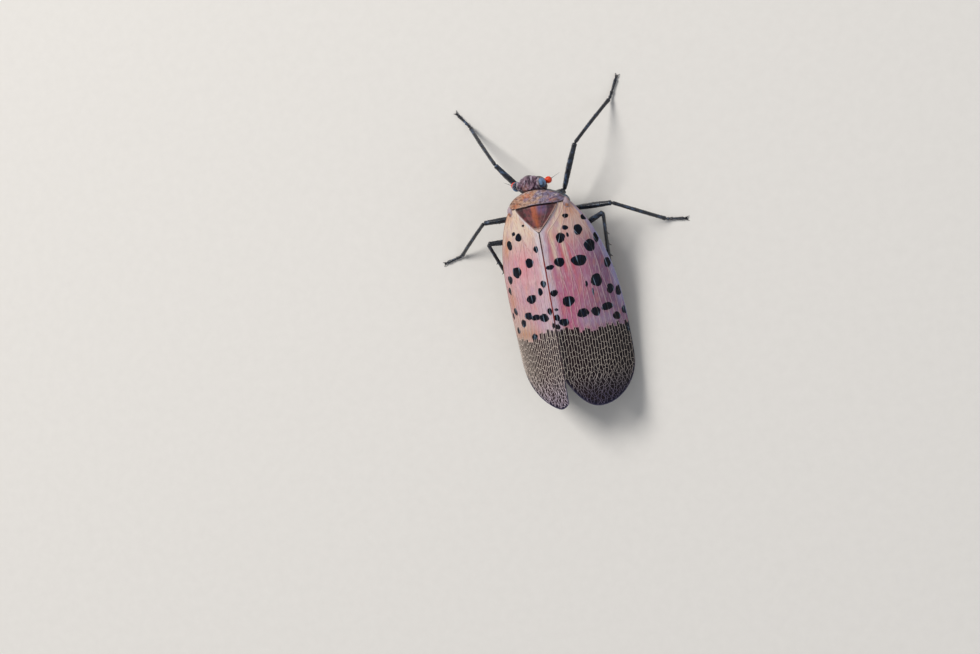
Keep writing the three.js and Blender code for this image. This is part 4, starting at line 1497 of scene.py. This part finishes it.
EYE_FINISH = finish_eye()
for side, sign in WING_SIDES.items():
    radii = np.array(EYE["radii"])
    globe = loft("eye_globe_" + side, eye_place(sign, ball_ways() * radii))
    finish_piece(globe, EYE_FINISH, "eye", "eye_" + side)
    places = eye_place(sign, even_spiral(LENS_COUNT) * (radii - LENS_SUNK))
    lenses = studs("eye_lenses_" + side, places, LENS_RADIUS, 0.04, 7, EYE_FINISH)
    finish_piece(lenses, EYE_FINISH, "eye", "eye_" + side)

# %% [markdown]
# The feeler under each eye is a round red-orange bulb, set on a short ring and studded with tiny
# warts. A hair-thin bristle grows from its top. The same studding tree makes the warts.

# %% Tubes along a path
def ways_along(path):
    """Unit directions along a path."""
    ahead = np.gradient(path, axis=0)
    return ahead / np.linalg.norm(ahead, axis=1)[:, None]


def tube_rings(path, radii, section=None, around=32):
    """Rings along a path in the row frame, in metres, with radii in millimetres."""
    ahead = ways_along(path)
    side_way = np.cross(ahead, UP)
    side_way /= np.linalg.norm(side_way, axis=1)[:, None]
    up_way = np.cross(side_way, ahead)
    turn = np.linspace(0, 2 * math.pi, around, endpoint=False)
    shape = np.ones(around) if section is None else section(turn)
    reach = radii[:, None, None] * shape[None, :, None] * MM
    sideways = np.cos(turn)[None, :, None] * side_way[:, None, :]
    upwards = np.sin(turn)[None, :, None] * up_way[:, None, :]
    return path[:, None, :] + reach * (sideways + upwards)


def bent_path(points, count):
    """A smooth path with a bend at its middle points, through its two ends."""
    t = np.linspace(0, 1, count)[:, None]
    order = len(points) - 1
    return sum(math.comb(order, k) * t ** k * (1 - t) ** (order - k) * points[k] for k in range(order + 1))


print("a path of 4 places:", bent_path([in_row(0, 0, 0), in_row(0, 1, 0)], 4).shape)

# %% The feelers
PEDICEL = dict(right=1.93, forward=5.42, height=-1.7, radius=0.37)
WART_COUNT = 170
WART_RADIUS = 0.042
WART_SUNK = 0.015
RING_STEPS = 24
BRISTLE_STEPS = 60


def finish_feeler():
    """Red-orange, with darker hollows between the warts."""
    material, tree = new_finish("feeler")
    grain = place_group(tree, GRAIN, Scale=14000.0, Pits=0.6)
    colour = layered(tree, shade(222, 44, 20), (grain["Tone"], shade(246, 92, 34)))
    return grained(material, grain, colour, (0.34, 0.5), 0.00001, Subsurface_Weight=0.15,
                   Subsurface_Radius=(0.0003, 0.0001, 0.00005))


def finish_horn(name, dark, light, amount):
    """Black cuticle with wax in its hollows, for the beak, the bristles and the claws."""
    material, tree = new_finish(name)
    grain = place_group(tree, GRAIN, Scale=10000.0, Pits=0.4)
    wax = place_group(tree, BLOOM, Scale=2400.0, Amount=amount)
    colour = layered(tree, dark, (grain["Tone"], light), (wax["Mask"], shade(104, 136, 176)))
    return grained(material, grain, colour, (0.24, 0.42), 0.00002, 0.6, Coat_Weight=0.2)


FEELER_FINISH = finish_feeler()
BLACK_HORN = finish_horn("black horn", shade(14, 14, 20), shade(34, 34, 44), 0.25)


def build_feeler(side, sign):
    """The bulb, its warts, the ring that it stands on and its bristle."""
    middle = np.array([sign * PEDICEL["right"], PEDICEL["forward"], PEDICEL["height"]])
    form = ball_ways() * PEDICEL["radius"]
    form = swollen(form, 1 + 0.015 * waves(form, 0.2, 61))
    bulb = loft("feeler_bulb_" + side, on_head(middle + form * [sign, 1, 1]))
    crust = on_head(middle + even_spiral(WART_COUNT) * (PEDICEL["radius"] - WART_SUNK))
    warts = studs("feeler_warts_" + side, crust, WART_RADIUS, 0.5, 3, FEELER_FINISH)
    share = np.linspace(0, 1, RING_STEPS)
    ends = [on_head(middle - [sign * 0.62, 0.06, -0.02]), on_head(middle - [sign * 0.2, 0, 0])]
    thick = 0.24 + 0.03 * bump_at(share, 0.55, 0.1) - 0.03 * bump_at(share, 0.75, 0.05)
    ring = loft("feeler_ring_" + side, tube_rings(bent_path(ends, RING_STEPS), thick))
    for piece in (bulb, warts, ring):
        finish_piece(piece, FEELER_FINISH, "antenna", "antenna_" + side)
    root = middle + [sign * 0.32, 0.09, 0.02]
    far = middle + [sign * 1.25, 0.55, -0.25]
    bend = (root + far) / 2 + [0, 0, 0.12]
    share = np.linspace(0, 1, BRISTLE_STEPS)
    thick = 0.028 - 0.02 * share + 0.045 * bump_at(share, 0.03, 0.05)
    path = bent_path([on_head(root), on_head(bend), on_head(far)], BRISTLE_STEPS)
    bristle = loft("feeler_bristle_" + side, tube_rings(path, thick, None, 12))
    finish_piece(bristle, BLACK_HORN, "antenna", "antenna_" + side)


for side, sign in WING_SIDES.items():
    build_feeler(side, sign)

# %% [markdown]
# The beak leaves the lower end of the face and lies back under the body, between the legs. It is a
# tube in four joints with a groove along its front, so its radius dips at each joint.

# %% The beak
BEAK_JOINTS = (0.14, 0.4, 0.72)
BEAK_STEPS = 160


def groove_section(turn):
    """A round section with a groove on its underside."""
    return 1 - 0.22 * bump_at(turn, 1.5 * math.pi, 0.28) + 0.05 * np.cos(2 * turn)


def build_beak():
    """The beak, thinner towards its tip."""
    share = np.linspace(0, 1, BEAK_STEPS)
    bends = [in_row(HEAD_SHIFT, 4.75, HEAD_BOTTOM), in_row(-0.15, 3.6, -5.75), in_row(0, -2.2, -5.65)]
    thick = 0.31 - 0.09 * share
    for joint in BEAK_JOINTS:
        thick = thick * (1 - 0.22 * bump_at(share, joint, 0.012) + 0.06 * bump_at(share, joint - 0.03, 0.02))
    thick = thick * np.minimum(1, 0.25 + 12 * (1 - share))
    return loft("beak", tube_rings(bent_path(bends, BEAK_STEPS), thick, groove_section, 40))


finish_piece(build_beak(), BLACK_HORN, "thorax", "rostrum")

# %% [markdown]
# ## The trunk
# Under the wings the thorax is a rounded box of dark plates with grooves between them and bluish
# wax in the hollows. The abdomen hangs behind it, in eight rings that overlap like tiles. It is
# yellow with black bands and ends in a dark red tip.

# %% The thorax
THORAX_FLARE = 0.34
THORAX_MIDDLE = -2.95
THORAX_RADII = (2.85, 3.7, 2.15)
NECK_RADII = (1.75, 1.0, 1.15)
NECK_MIDDLE = (HEAD_SHIFT / 2, 3.75, -1.5)


def under_roof(right, forward):
    """The height that the thorax has to stay under: the collar, the shield or the wings."""
    across = np.clip(np.abs(right) / through(ROOF_HALF_WIDTH, -forward), 0, 1)
    wing = -through(ROOF_DROP, -forward) * roof_fall(across) - 0.55
    collar = collar_height(right, forward) - 0.26
    return np.where(forward > COLLAR_HIND - 0.1, collar, np.minimum(wing, -0.5))


def build_thorax():
    """The thorax, with grooves between its plates."""
    side, long, high = np.moveaxis(ball_ways(110, 180), -1, 0)
    square = (np.abs(side) ** 3 + np.abs(high) ** 3 + 1e-9) ** (-1 / 3)
    fill = 1 + (np.minimum(np.hypot(side, high) * square, 1.2) - 1) * 0.6
    forward = 0.95 + long * THORAX_RADII[1]
    right = side * THORAX_RADII[0] * fill * (1 + THORAX_FLARE * bump_at(forward, 3.5, 1.0))
    height = THORAX_MIDDLE + high * THORAX_RADII[2] * fill
    upright = ridge(forward - 2.55 - 0.3 * (height + 3), 0.09)
    upright += ridge(forward - 0.55 + 0.35 * (height + 3), 0.09)
    upright += ridge(forward - 1.7 - 0.2 * (height + 3), 0.05)
    level = ridge(height + 2.55 + 0.12 * forward, 0.08) + ridge(height + 4.1, 0.08)
    places = stacked(right, forward, height)
    relief = 1 - 0.06 * (upright + 0.8 * level) + 0.014 * waves(places, 0.9, 71)
    right = right * relief
    height = np.minimum(THORAX_MIDDLE + (height - THORAX_MIDDLE) * relief, under_roof(right, forward))
    colour = painted(mixed(shade(30, 32, 42), shade(66, 60, 66), eased(-0.2, 1.0, waves(places, 0.9, 72))),
                     (196, 160, 96, 0.8 * eased(0.4, 0.9, upright + level) * (height < -3.4)),
                     (112, 140, 176, 0.7 * eased(0.3, 1.0, waves(places, 0.6, 73))))
    return loft("thorax_plates", in_row(right, forward, height), colour)


def build_neck():
    """The soft neck that fills the gap between the head and the collar."""
    form = ball_ways() * NECK_RADII
    right, forward, height = np.moveaxis(form + NECK_MIDDLE, -1, 0)
    height = np.minimum(height + 0.03 * np.sin(forward * 24), under_roof(right, forward))
    colour = mixed(shade(30, 30, 38), shade(74, 66, 70), eased(-0.5, 0.9, waves(form, 0.5, 75)))
    return loft("neck_skin", in_row(right, forward, height), colour)


THORAX_FINISH = finish_plates("thorax shell", 0.1, shade(12, 12, 18), shade(90, 100, 124), 0.46)
for piece in (build_thorax(), build_neck()):
    finish_piece(piece, THORAX_FINISH, "thorax", "thorax")

# %% The abdomen
ABDOMEN_RINGS = 8
ABDOMEN_HALF_LENGTH = 6.1
ABDOMEN_HALF_WIDTH = 2.78
ABDOMEN_HALF_HEIGHT = 1.78
ABDOMEN_PLACE = -7.9
ABDOMEN_MIDDLE = -3.78


def build_abdomen():
    """The abdomen, each ring lapping over the next."""
    turn = np.linspace(0, 2 * math.pi, 140, endpoint=False)[None, :]
    along = np.linspace(0.002, 0.9985, 260)[:, None]
    phase = along * ABDOMEN_RINGS % 1
    lap = 1 - 0.075 * eased(0.86, 1.0, phase) + 0.02 * bump_at(phase, 0.8, 0.12)
    reach = np.sqrt(1 - (1 - along) ** 6) * (1 - along ** 2.4) ** 0.62 * lap
    sway = 1 + 0.03 * np.cos(2 * turn) - 0.05 * bump_at(np.sin(turn), -1, 0.25)
    right = np.cos(turn) * reach * ABDOMEN_HALF_WIDTH * sway
    forward = ABDOMEN_PLACE + (1 - 2 * along) * ABDOMEN_HALF_LENGTH + 0 * turn
    height = np.sin(turn) * reach * ABDOMEN_HALF_HEIGHT * sway + ABDOMEN_MIDDLE + 0.4 * along * along
    places = stacked(right, forward, height)
    wrinkle = 1 + 0.008 * waves(places * [1, 3, 1], 0.6, 81)
    rings = in_row(right * wrinkle, forward, (height - ABDOMEN_MIDDLE) * wrinkle + ABDOMEN_MIDDLE)
    upper = eased(-0.15, 0.35, np.sin(turn)) + 0 * along
    band = eased(0.12, 0.2, phase) * eased(0.74, 0.66, phase) * (0.55 + 0.45 * upper)
    band = band * (1 - bump_at(np.abs(np.cos(turn)), 1, 0.12) * 0.8)
    colour = mixed(shade(226, 188, 62), shade(214, 200, 140), eased(-0.4, 0.8, waves(places, 0.9, 82)))
    colour = painted(colour, (34, 30, 32, band), (150, 36, 34, eased(0.93, 0.965, along)))
    return loft("abdomen_rings", rings, colour)


ABDOMEN_FINISH = finish_plates("abdomen shell", 0.1, shade(104, 78, 34), shade(236, 222, 160), 0.34)
finish_piece(build_abdomen(), ABDOMEN_FINISH, "abdomen", "abdomen")

# %% [markdown]
# ## The legs
# A leg is a short coxa, an edged femur, a long thin tibia and a foot of three joints that ends in
# two hooked claws with a pad between them. The six legs differ only in their places, so one table
# of joints drives one set of builders. A section with four soft edges keeps them from looking like
# wire, and the foot is pressed flat where it meets the floor.

# %% The joints of the legs
LEGS = {
    "fore_right": dict(hip=(1.35, 3.5, -4.2), trochanter=(2.05, 4.1, -5), knee=(4.52, 8.86, -3.8),
                       ankle=(7.75, 12.95, 0.42), toe=(8.8, 15.1), bow=0.35),
    "fore_left": dict(hip=(-1.35, 3.5, -4.2), trochanter=(-2.05, 4.1, -5), knee=(-4.81, 8.06, -3.8),
                      ankle=(-8.45, 12.7, 0.42), toe=(-9.8, 14.4), bow=0.35),
    "middle_right": dict(hip=(1.7, 1.6, -4.3), trochanter=(2.5, 2, -5), knee=(7.4, 1.85, -3.9),
                         ankle=(11.95, -0.85, 0.42), toe=(13.95, -1.15), bow=0.3),
    "middle_left": dict(hip=(-1.7, 1.6, -4.3), trochanter=(-2.5, 2, -5), knee=(-7.3, 2.05, -3.95),
                        ankle=(-11.7, -1, 0.42), toe=(-13.7, -1.5), bow=0.3),
    "hind_right": dict(hip=(1.6, -0.6, -4.2), trochanter=(2.4, -0.5, -4.9), knee=(6.5, 1, -3),
                       ankle=(4.95, -6.35, 0.42), toe=(4.85, -8.45), bow=0.2),
    "hind_left": dict(hip=(-1.6, -0.6, -4.2), trochanter=(-2.4, -0.5, -4.9), knee=(-6.9, -0.25, -3),
                      ankle=(-5.3, -7.4, 0.42), toe=(-5.3, -9.5), bow=0.2),
}
FOOT_HEIGHT = 0.2
HEEL_RISE = 0.05
LIMB_AROUND = 36
LIMB_STEPS = dict(coxa=90, femur=150, tibia=190, foot=120)


def edged_section(turn):
    """A section with four soft edges, a little deeper than wide."""
    return 1 + 0.07 * np.cos(4 * turn) + 0.05 * np.cos(2 * turn + math.pi)


def bowed_path(start, end, rise, count):
    """A path between two places whose middle is lifted by a few tenths of a millimetre."""
    return bent_path([start, (start + end) / 2 + UP * rise * MM, end], count)


def above_floor(rings):
    """Rings pressed flat where they would sink into the floor."""
    rings[..., 2] = np.maximum(rings[..., 2], 0)
    return rings


def leg_part(name, path, radius):
    """A limb whose radius follows its length, puckered a little, with its lie stored."""
    rings = tube_rings(path, radius(np.linspace(0, 1, len(path))), edged_section, LIMB_AROUND)
    middle = path[:, None, :]
    pucker = 1 + 0.02 * waves(rings / MM, 0.35, 91, 12) + 0.012 * waves(rings / MM, 0.12, 92, 14)
    piece = loft(name, above_floor(middle + swollen(rings - middle, pucker)))
    ahead = ways_along(path)
    lie = np.concatenate([np.repeat(ahead, LIMB_AROUND, axis=0), ahead[:1], ahead[-1:]])
    mark(piece, "lie", lie, "FLOAT_VECTOR", "vector")
    return piece


print("legs:", ", ".join(LEGS))

# %% The legs' finish
def finish_leg():
    """Blue-black cuticle with a painted pale blue highlight on its upward faces, broken into patches by the
    wax mask.
    """
    material, tree = new_finish("leg shell")
    grain = place_group(tree, GRAIN, Scale=9000.0, Pits=0.5)
    wax = place_group(tree, BLOOM, Scale=1500.0, Amount=0.5)
    facing = node(tree, "ShaderNodeNewGeometry").outputs["Normal"]
    upward = node(tree, "ShaderNodeSeparateXYZ", {"Vector": facing}).outputs["Z"]
    # Pale blue on the faces that point up, in patches of the wax mask: a painted highlight.
    amount = times(tree, wax["Mask"], ramp(tree, upward, 0.1, 0.9, 0.1, 0.8))
    colour = layered(tree, shade(10, 12, 20), (grain["Tone"], shade(30, 36, 50)),
                     (times(tree, amount, 0.75), shade(104, 138, 184)))
    return grained(material, grain, colour, (0.24, 0.4), 0.00002, 0.7, Coat_Weight=0.3, Coat_Roughness=0.25)


LEG_FINISH = finish_leg()
print("finish:", LEG_FINISH.name)

# %% [markdown]
# Short stiff bristles lie along every leg and point to its foot. A Geometry Nodes tree scatters
# points over the leg, turns a thin cone at each one between the surface's normal and the leg's lie,
# which the builder stored as an attribute, and leaves only the cones.

# %% A tree that grows bristles
def build_bristle_tree():
    """A surface in, bristles out."""
    numbers = dict(Per_square_metre=2e7, Length=0.2 * MM, Radius=0.012 * MM, Lean=1.2, Seed=1)
    tree, given = new_tree("bristles on a limb", **numbers)
    spread = {"Mesh": given["Geometry"], "Density": given["Per square metre"], "Seed": given["Seed"]}
    dots = node(tree, "GeometryNodeDistributePointsOnFaces", spread, distribute_method="RANDOM").outputs
    lean = {0: stored(tree, "lie", data_type="FLOAT_VECTOR"), "Scale": given["Lean"]}
    along = node(tree, "ShaderNodeVectorMath", lean, operation="SCALE").outputs[0]
    way = node(tree, "ShaderNodeVectorMath", {0: dots["Normal"], 1: along}, operation="ADD").outputs[0]
    shape = {"Vertices": 4, "Radius Top": 0.0, "Radius Bottom": given["Radius"], "Depth": given["Length"]}
    cones = node(tree, "GeometryNodeInstanceOnPoints", {
        "Points": dots["Points"],
        "Instance": node(tree, "GeometryNodeMeshCone", shape).outputs["Mesh"],
        "Rotation": node(tree, "FunctionNodeAlignRotationToVector", {"Vector": way}, axis="Z").outputs[0],
        "Scale": random_size(tree, 0.55, 1.15, given["Seed"]),
    })
    return end_tree(tree, cones.outputs["Instances"], given["Finish"])


BRISTLE_TREE = build_bristle_tree()


def bristles_on(name, pieces, **values):
    """Bristles over several pieces, as one piece."""
    copies = [placed("twin", piece.data.copy()) for piece in pieces]
    with bpy.context.temp_override(active_object=copies[0], selected_editable_objects=copies):
        bpy.ops.object.join()
    return grown_by(BRISTLE_TREE, copies[0], name, **values)


print("the bristle tree has", len(BRISTLE_TREE.nodes), "nodes")

# %% The thickness of each limb
def rounded(share, reach=0.04):
    """A factor that rounds off both ends of a limb."""
    inward = np.clip(np.minimum(share, 1 - share) / reach, 0, 1)
    return np.sqrt(np.clip(1 - (1 - inward) ** 2, 0.01, 1))


def coxa_radius(share):
    """Fullest near the body."""
    body = through([(0, 0.5), (0.35, 0.58), (0.7, 0.46), (0.8, 0.34), (0.86, 0.36), (1, 0.3)], share)
    return body * rounded(share, 0.12)


def femur_radius(share):
    """Slim at the hip, fullest past the middle, narrower at the knee with a small swelling."""
    body = through([(0, 0.2), (0.15, 0.27), (0.55, 0.31), (0.85, 0.27), (1, 0.24)], share)
    return (body + 0.03 * bump_at(share, 0.96, 0.03)) * rounded(share)


def tibia_radius(share):
    """Thin behind the knee, even along the shank and wider at the ankle."""
    body = through([(0, 0.21), (0.05, 0.2), (0.12, 0.19), (0.6, 0.2), (0.92, 0.2), (1, 0.24)], share)
    return body * rounded(share, 0.03)


def foot_radius(share):
    """Three joints, each wider at its far end."""
    radius = 0 * share
    for start, end in ((0.0, 0.3), (0.3, 0.55), (0.55, 1.0)):
        within = np.clip((share - start) / (end - start), 0, 1)
        inside = (share >= start) & (share <= end)
        radius = np.where(inside, 0.115 + 0.075 * within ** 1.5 - 0.05 * eased(0.93, 1, within), radius)
    return radius * np.minimum(1, 0.4 + 10 * (1 - share))


print("the femur is up to", round(2 * float(femur_radius(np.linspace(0, 1, 99)).max()), 2), "mm thick")

# %% Legs, feet and claws
SPINE_PLACES = [(0.3, 0.42), (0.46, 0.5), (0.62, 0.5), (0.78, 0.42), (0.965, 0.36)]
HEEL_SHARE = 0.12
PAD_RADII = (0.1, 0.17, 0.07)


def thorn(name, points, count, thick, power, tip):
    """A thin horn that tapers along a path."""
    share = np.linspace(0, 1, count)
    rings = tube_rings(bent_path(points, count), thick * (1 - share) ** power + tip, None, 14)
    return loft(name, above_floor(rings))


def build_spines(name, path, outward):
    """Stout spines along the outer side of a hind shank, each leaning to the foot."""
    ahead = (path[-1] - path[0]) / np.linalg.norm(path[-1] - path[0])
    for k, (place, long) in enumerate(SPINE_PLACES):
        root = path[int(place * (len(path) - 1))] + outward * 0.1 * MM
        far = root + (outward * 0.75 + ahead * 0.65) * long * MM
        spine = thorn("shank_spine_%s_%d" % (name, k + 1), [root, far], 16, 0.085, 0.8, 0.008)
        finish_piece(spine, BLACK_HORN, "leg", "tibia_" + name)


def build_toe(name, toe, ahead, outward):
    """Two hooked claws, with a pad between them."""
    for k, side in enumerate((outward, -outward)):
        bend = toe + (ahead * 0.25 + side * 0.12 + UP * 0.1) * MM
        tip = toe + (ahead * 0.48 + side * 0.26 - UP * 0.17) * MM
        hook = thorn("claw_%s_%d" % (name, k + 1), [toe - ahead * 0.1 * MM, bend, tip], 30, 0.075, 0.7, 0.006)
        finish_piece(hook, BLACK_HORN, "leg", "tarsus_" + name)
    form = ball_ways(24, 32) * PAD_RADII
    turned = form[..., :1] * outward + form[..., 1:2] * ahead + form[..., 2:] * UP
    pad = loft("foot_pad_" + name, above_floor(toe + (ahead * 0.16 - UP * 0.1) * MM + turned * MM))
    finish_piece(pad, BLACK_HORN, "leg", "tarsus_" + name)


def build_leg(name, leg):
    """All the pieces of one leg."""
    hip, trochanter, knee = (in_row(*leg[key]) for key in ("hip", "trochanter", "knee"))
    ankle = on_floor(*leg["ankle"])
    toe = on_floor(*leg["toe"], FOOT_HEIGHT)
    heel = ankle + (toe - ankle) * HEEL_SHARE
    heel[2] = (FOOT_HEIGHT + HEEL_RISE) * MM
    shank = bowed_path(knee, ankle, leg["bow"], LIMB_STEPS["tibia"])
    root = bowed_path(hip, trochanter, 0.0, LIMB_STEPS["coxa"])
    thigh = bowed_path(trochanter, knee, leg["bow"], LIMB_STEPS["femur"])
    sole = bent_path([ankle, heel, toe], LIMB_STEPS["foot"])
    limbs = [
        leg_part("coxa_plate_" + name, root, coxa_radius),
        leg_part("femur_shell_" + name, thigh, femur_radius),
        leg_part("tibia_shell_" + name, shank, tibia_radius),
        leg_part("foot_joints_" + name, sole, foot_radius),
    ]
    for limb, solid in zip(limbs, ("coxa_", "femur_", "tibia_", "tarsus_")):
        finish_piece(limb, LEG_FINISH, "leg", solid + name)
    ahead = (toe - ankle) * [1, 1, 0]
    ahead /= np.linalg.norm(ahead)
    outward = np.cross(ahead, UP)
    if name.startswith("hind"):
        build_spines(name, shank, outward * (1 if "left" in name else -1))
    build_toe(name, toe - UP * 0.02 * MM, ahead, outward)
    values = {"Per square metre": 5e7, "Length": 0.13 * MM, "Radius": 0.009 * MM, "Lean": 1.5, "Seed": 4}
    hairs = bristles_on("leg_bristles_" + name, limbs[1:], **values, Finish=BLACK_HORN)
    finish_piece(hairs, BLACK_HORN, "leg", "tibia_" + name)


for name, leg in LEGS.items():
    build_leg(name, leg)

# %% [markdown]
# ## The floor, the light and the camera
# The insect is shown like a museum piece: a plain pale floor, one large soft light from the upper
# left of the picture, and a weak one from the other side. The camera looks straight down the
# picture's own line of sight, eighteen degrees to the insect's right of its vertical.

# %% The floor and the light
FLOOR_HALF = 1.5


def finish_floor():
    """Plain pale paper."""
    material, tree = new_finish("floor paper")
    fibres = cloud(tree, (900, 900, 900), 3.0, 0.6)
    colour = layered(tree, shade(230, 227, 222), (fibres, shade(237, 234, 229)))
    return surfaced(material, Base_Color=colour, Roughness=0.85)


FLOOR_CORNERS = np.array([(-1, -1, 0), (1, -1, 0), (1, 1, 0), (-1, 1, 0)]) * FLOOR_HALF
floor = placed("floor", mesh_of("floor", FLOOR_CORNERS, (), [(0, 1, 2, 3)]))
floor.data.materials.append(finish_floor())


def soft_light(name, place, size, power, colour):
    """A square soft light that faces the insect."""
    lamp = bpy.data.lights.new(name, "AREA")
    lamp.size = size
    lamp.energy = power
    lamp.color = colour
    holder = placed(name, lamp)
    holder.location = place
    holder.rotation_euler = (-Vector(place)).to_track_quat("-Z", "Y").to_euler()


soft_light("key light", (0.26, -0.30, 0.50), 0.26, 3.1, (1.0, 0.97, 0.93))
soft_light("fill light", (-0.40, 0.14, 0.30), 0.34, 0.34, (0.86, 0.92, 1.0))
world = bpy.data.worlds.new("soft room")
world.use_nodes = True
room = world.node_tree.nodes["Background"].inputs
room["Color"].default_value = (0.93, 0.95, 1.0, 1.0)
room["Strength"].default_value = 0.3
bpy.context.scene.world = world
bpy.context.scene.view_settings.view_transform = "Standard"
print("two soft lights and a pale room")

# %% The camera
PICTURE_WIDTH = 980
PICTURE_HEIGHT = 654
SCALE_PX_PER_MM = 9.4
SHIELD_TIP_PX = (538.9, 233.0)
PICTURE_TURN = math.radians(10)
LENS = 100.0
SENSOR = 36.0


def direction(right, forward, height):
    """A direction of the insect in the row frame, as a plain vector in millimetres."""
    return Vector((in_row(right, forward, height) - in_row(0, 0, 0)) / MM)


away = LENS * PICTURE_WIDTH / (SENSOR * SCALE_PX_PER_MM)
towards_camera = direction(math.sin(VIEW_LEAN), 0, math.cos(VIEW_LEAN))
seen_right = direction(math.cos(VIEW_LEAN), 0, -math.sin(VIEW_LEAN))
seen_forward = direction(0, 1, 0)
picture_right = math.cos(PICTURE_TURN) * seen_right - math.sin(PICTURE_TURN) * seen_forward
picture_up = math.sin(PICTURE_TURN) * seen_right + math.cos(PICTURE_TURN) * seen_forward
tip = Vector(in_row(0, 0, 0) / MM)
lens_place = tip + away * towards_camera
aim = tip - (SHIELD_TIP_PX[0] - PICTURE_WIDTH / 2) / SCALE_PX_PER_MM * picture_right
aim -= (PICTURE_HEIGHT / 2 - SHIELD_TIP_PX[1]) / SCALE_PX_PER_MM * picture_up
forward_axis = (aim - lens_place).normalized()
right_axis = forward_axis.cross(picture_up).normalized()
up_axis = right_axis.cross(forward_axis)
camera_data = bpy.data.cameras.new("camera")
camera_data.lens = LENS
camera_data.sensor_width = SENSOR
camera_data.clip_start = 0.01
camera = placed("camera", camera_data)
turn = Matrix((right_axis, up_axis, -forward_axis)).transposed().to_4x4()
camera.matrix_world = Matrix.Translation(lens_place * MM) @ turn
bpy.context.scene.camera = camera
print("the camera is", round(camera.location.z * 1000), "mm above the floor")
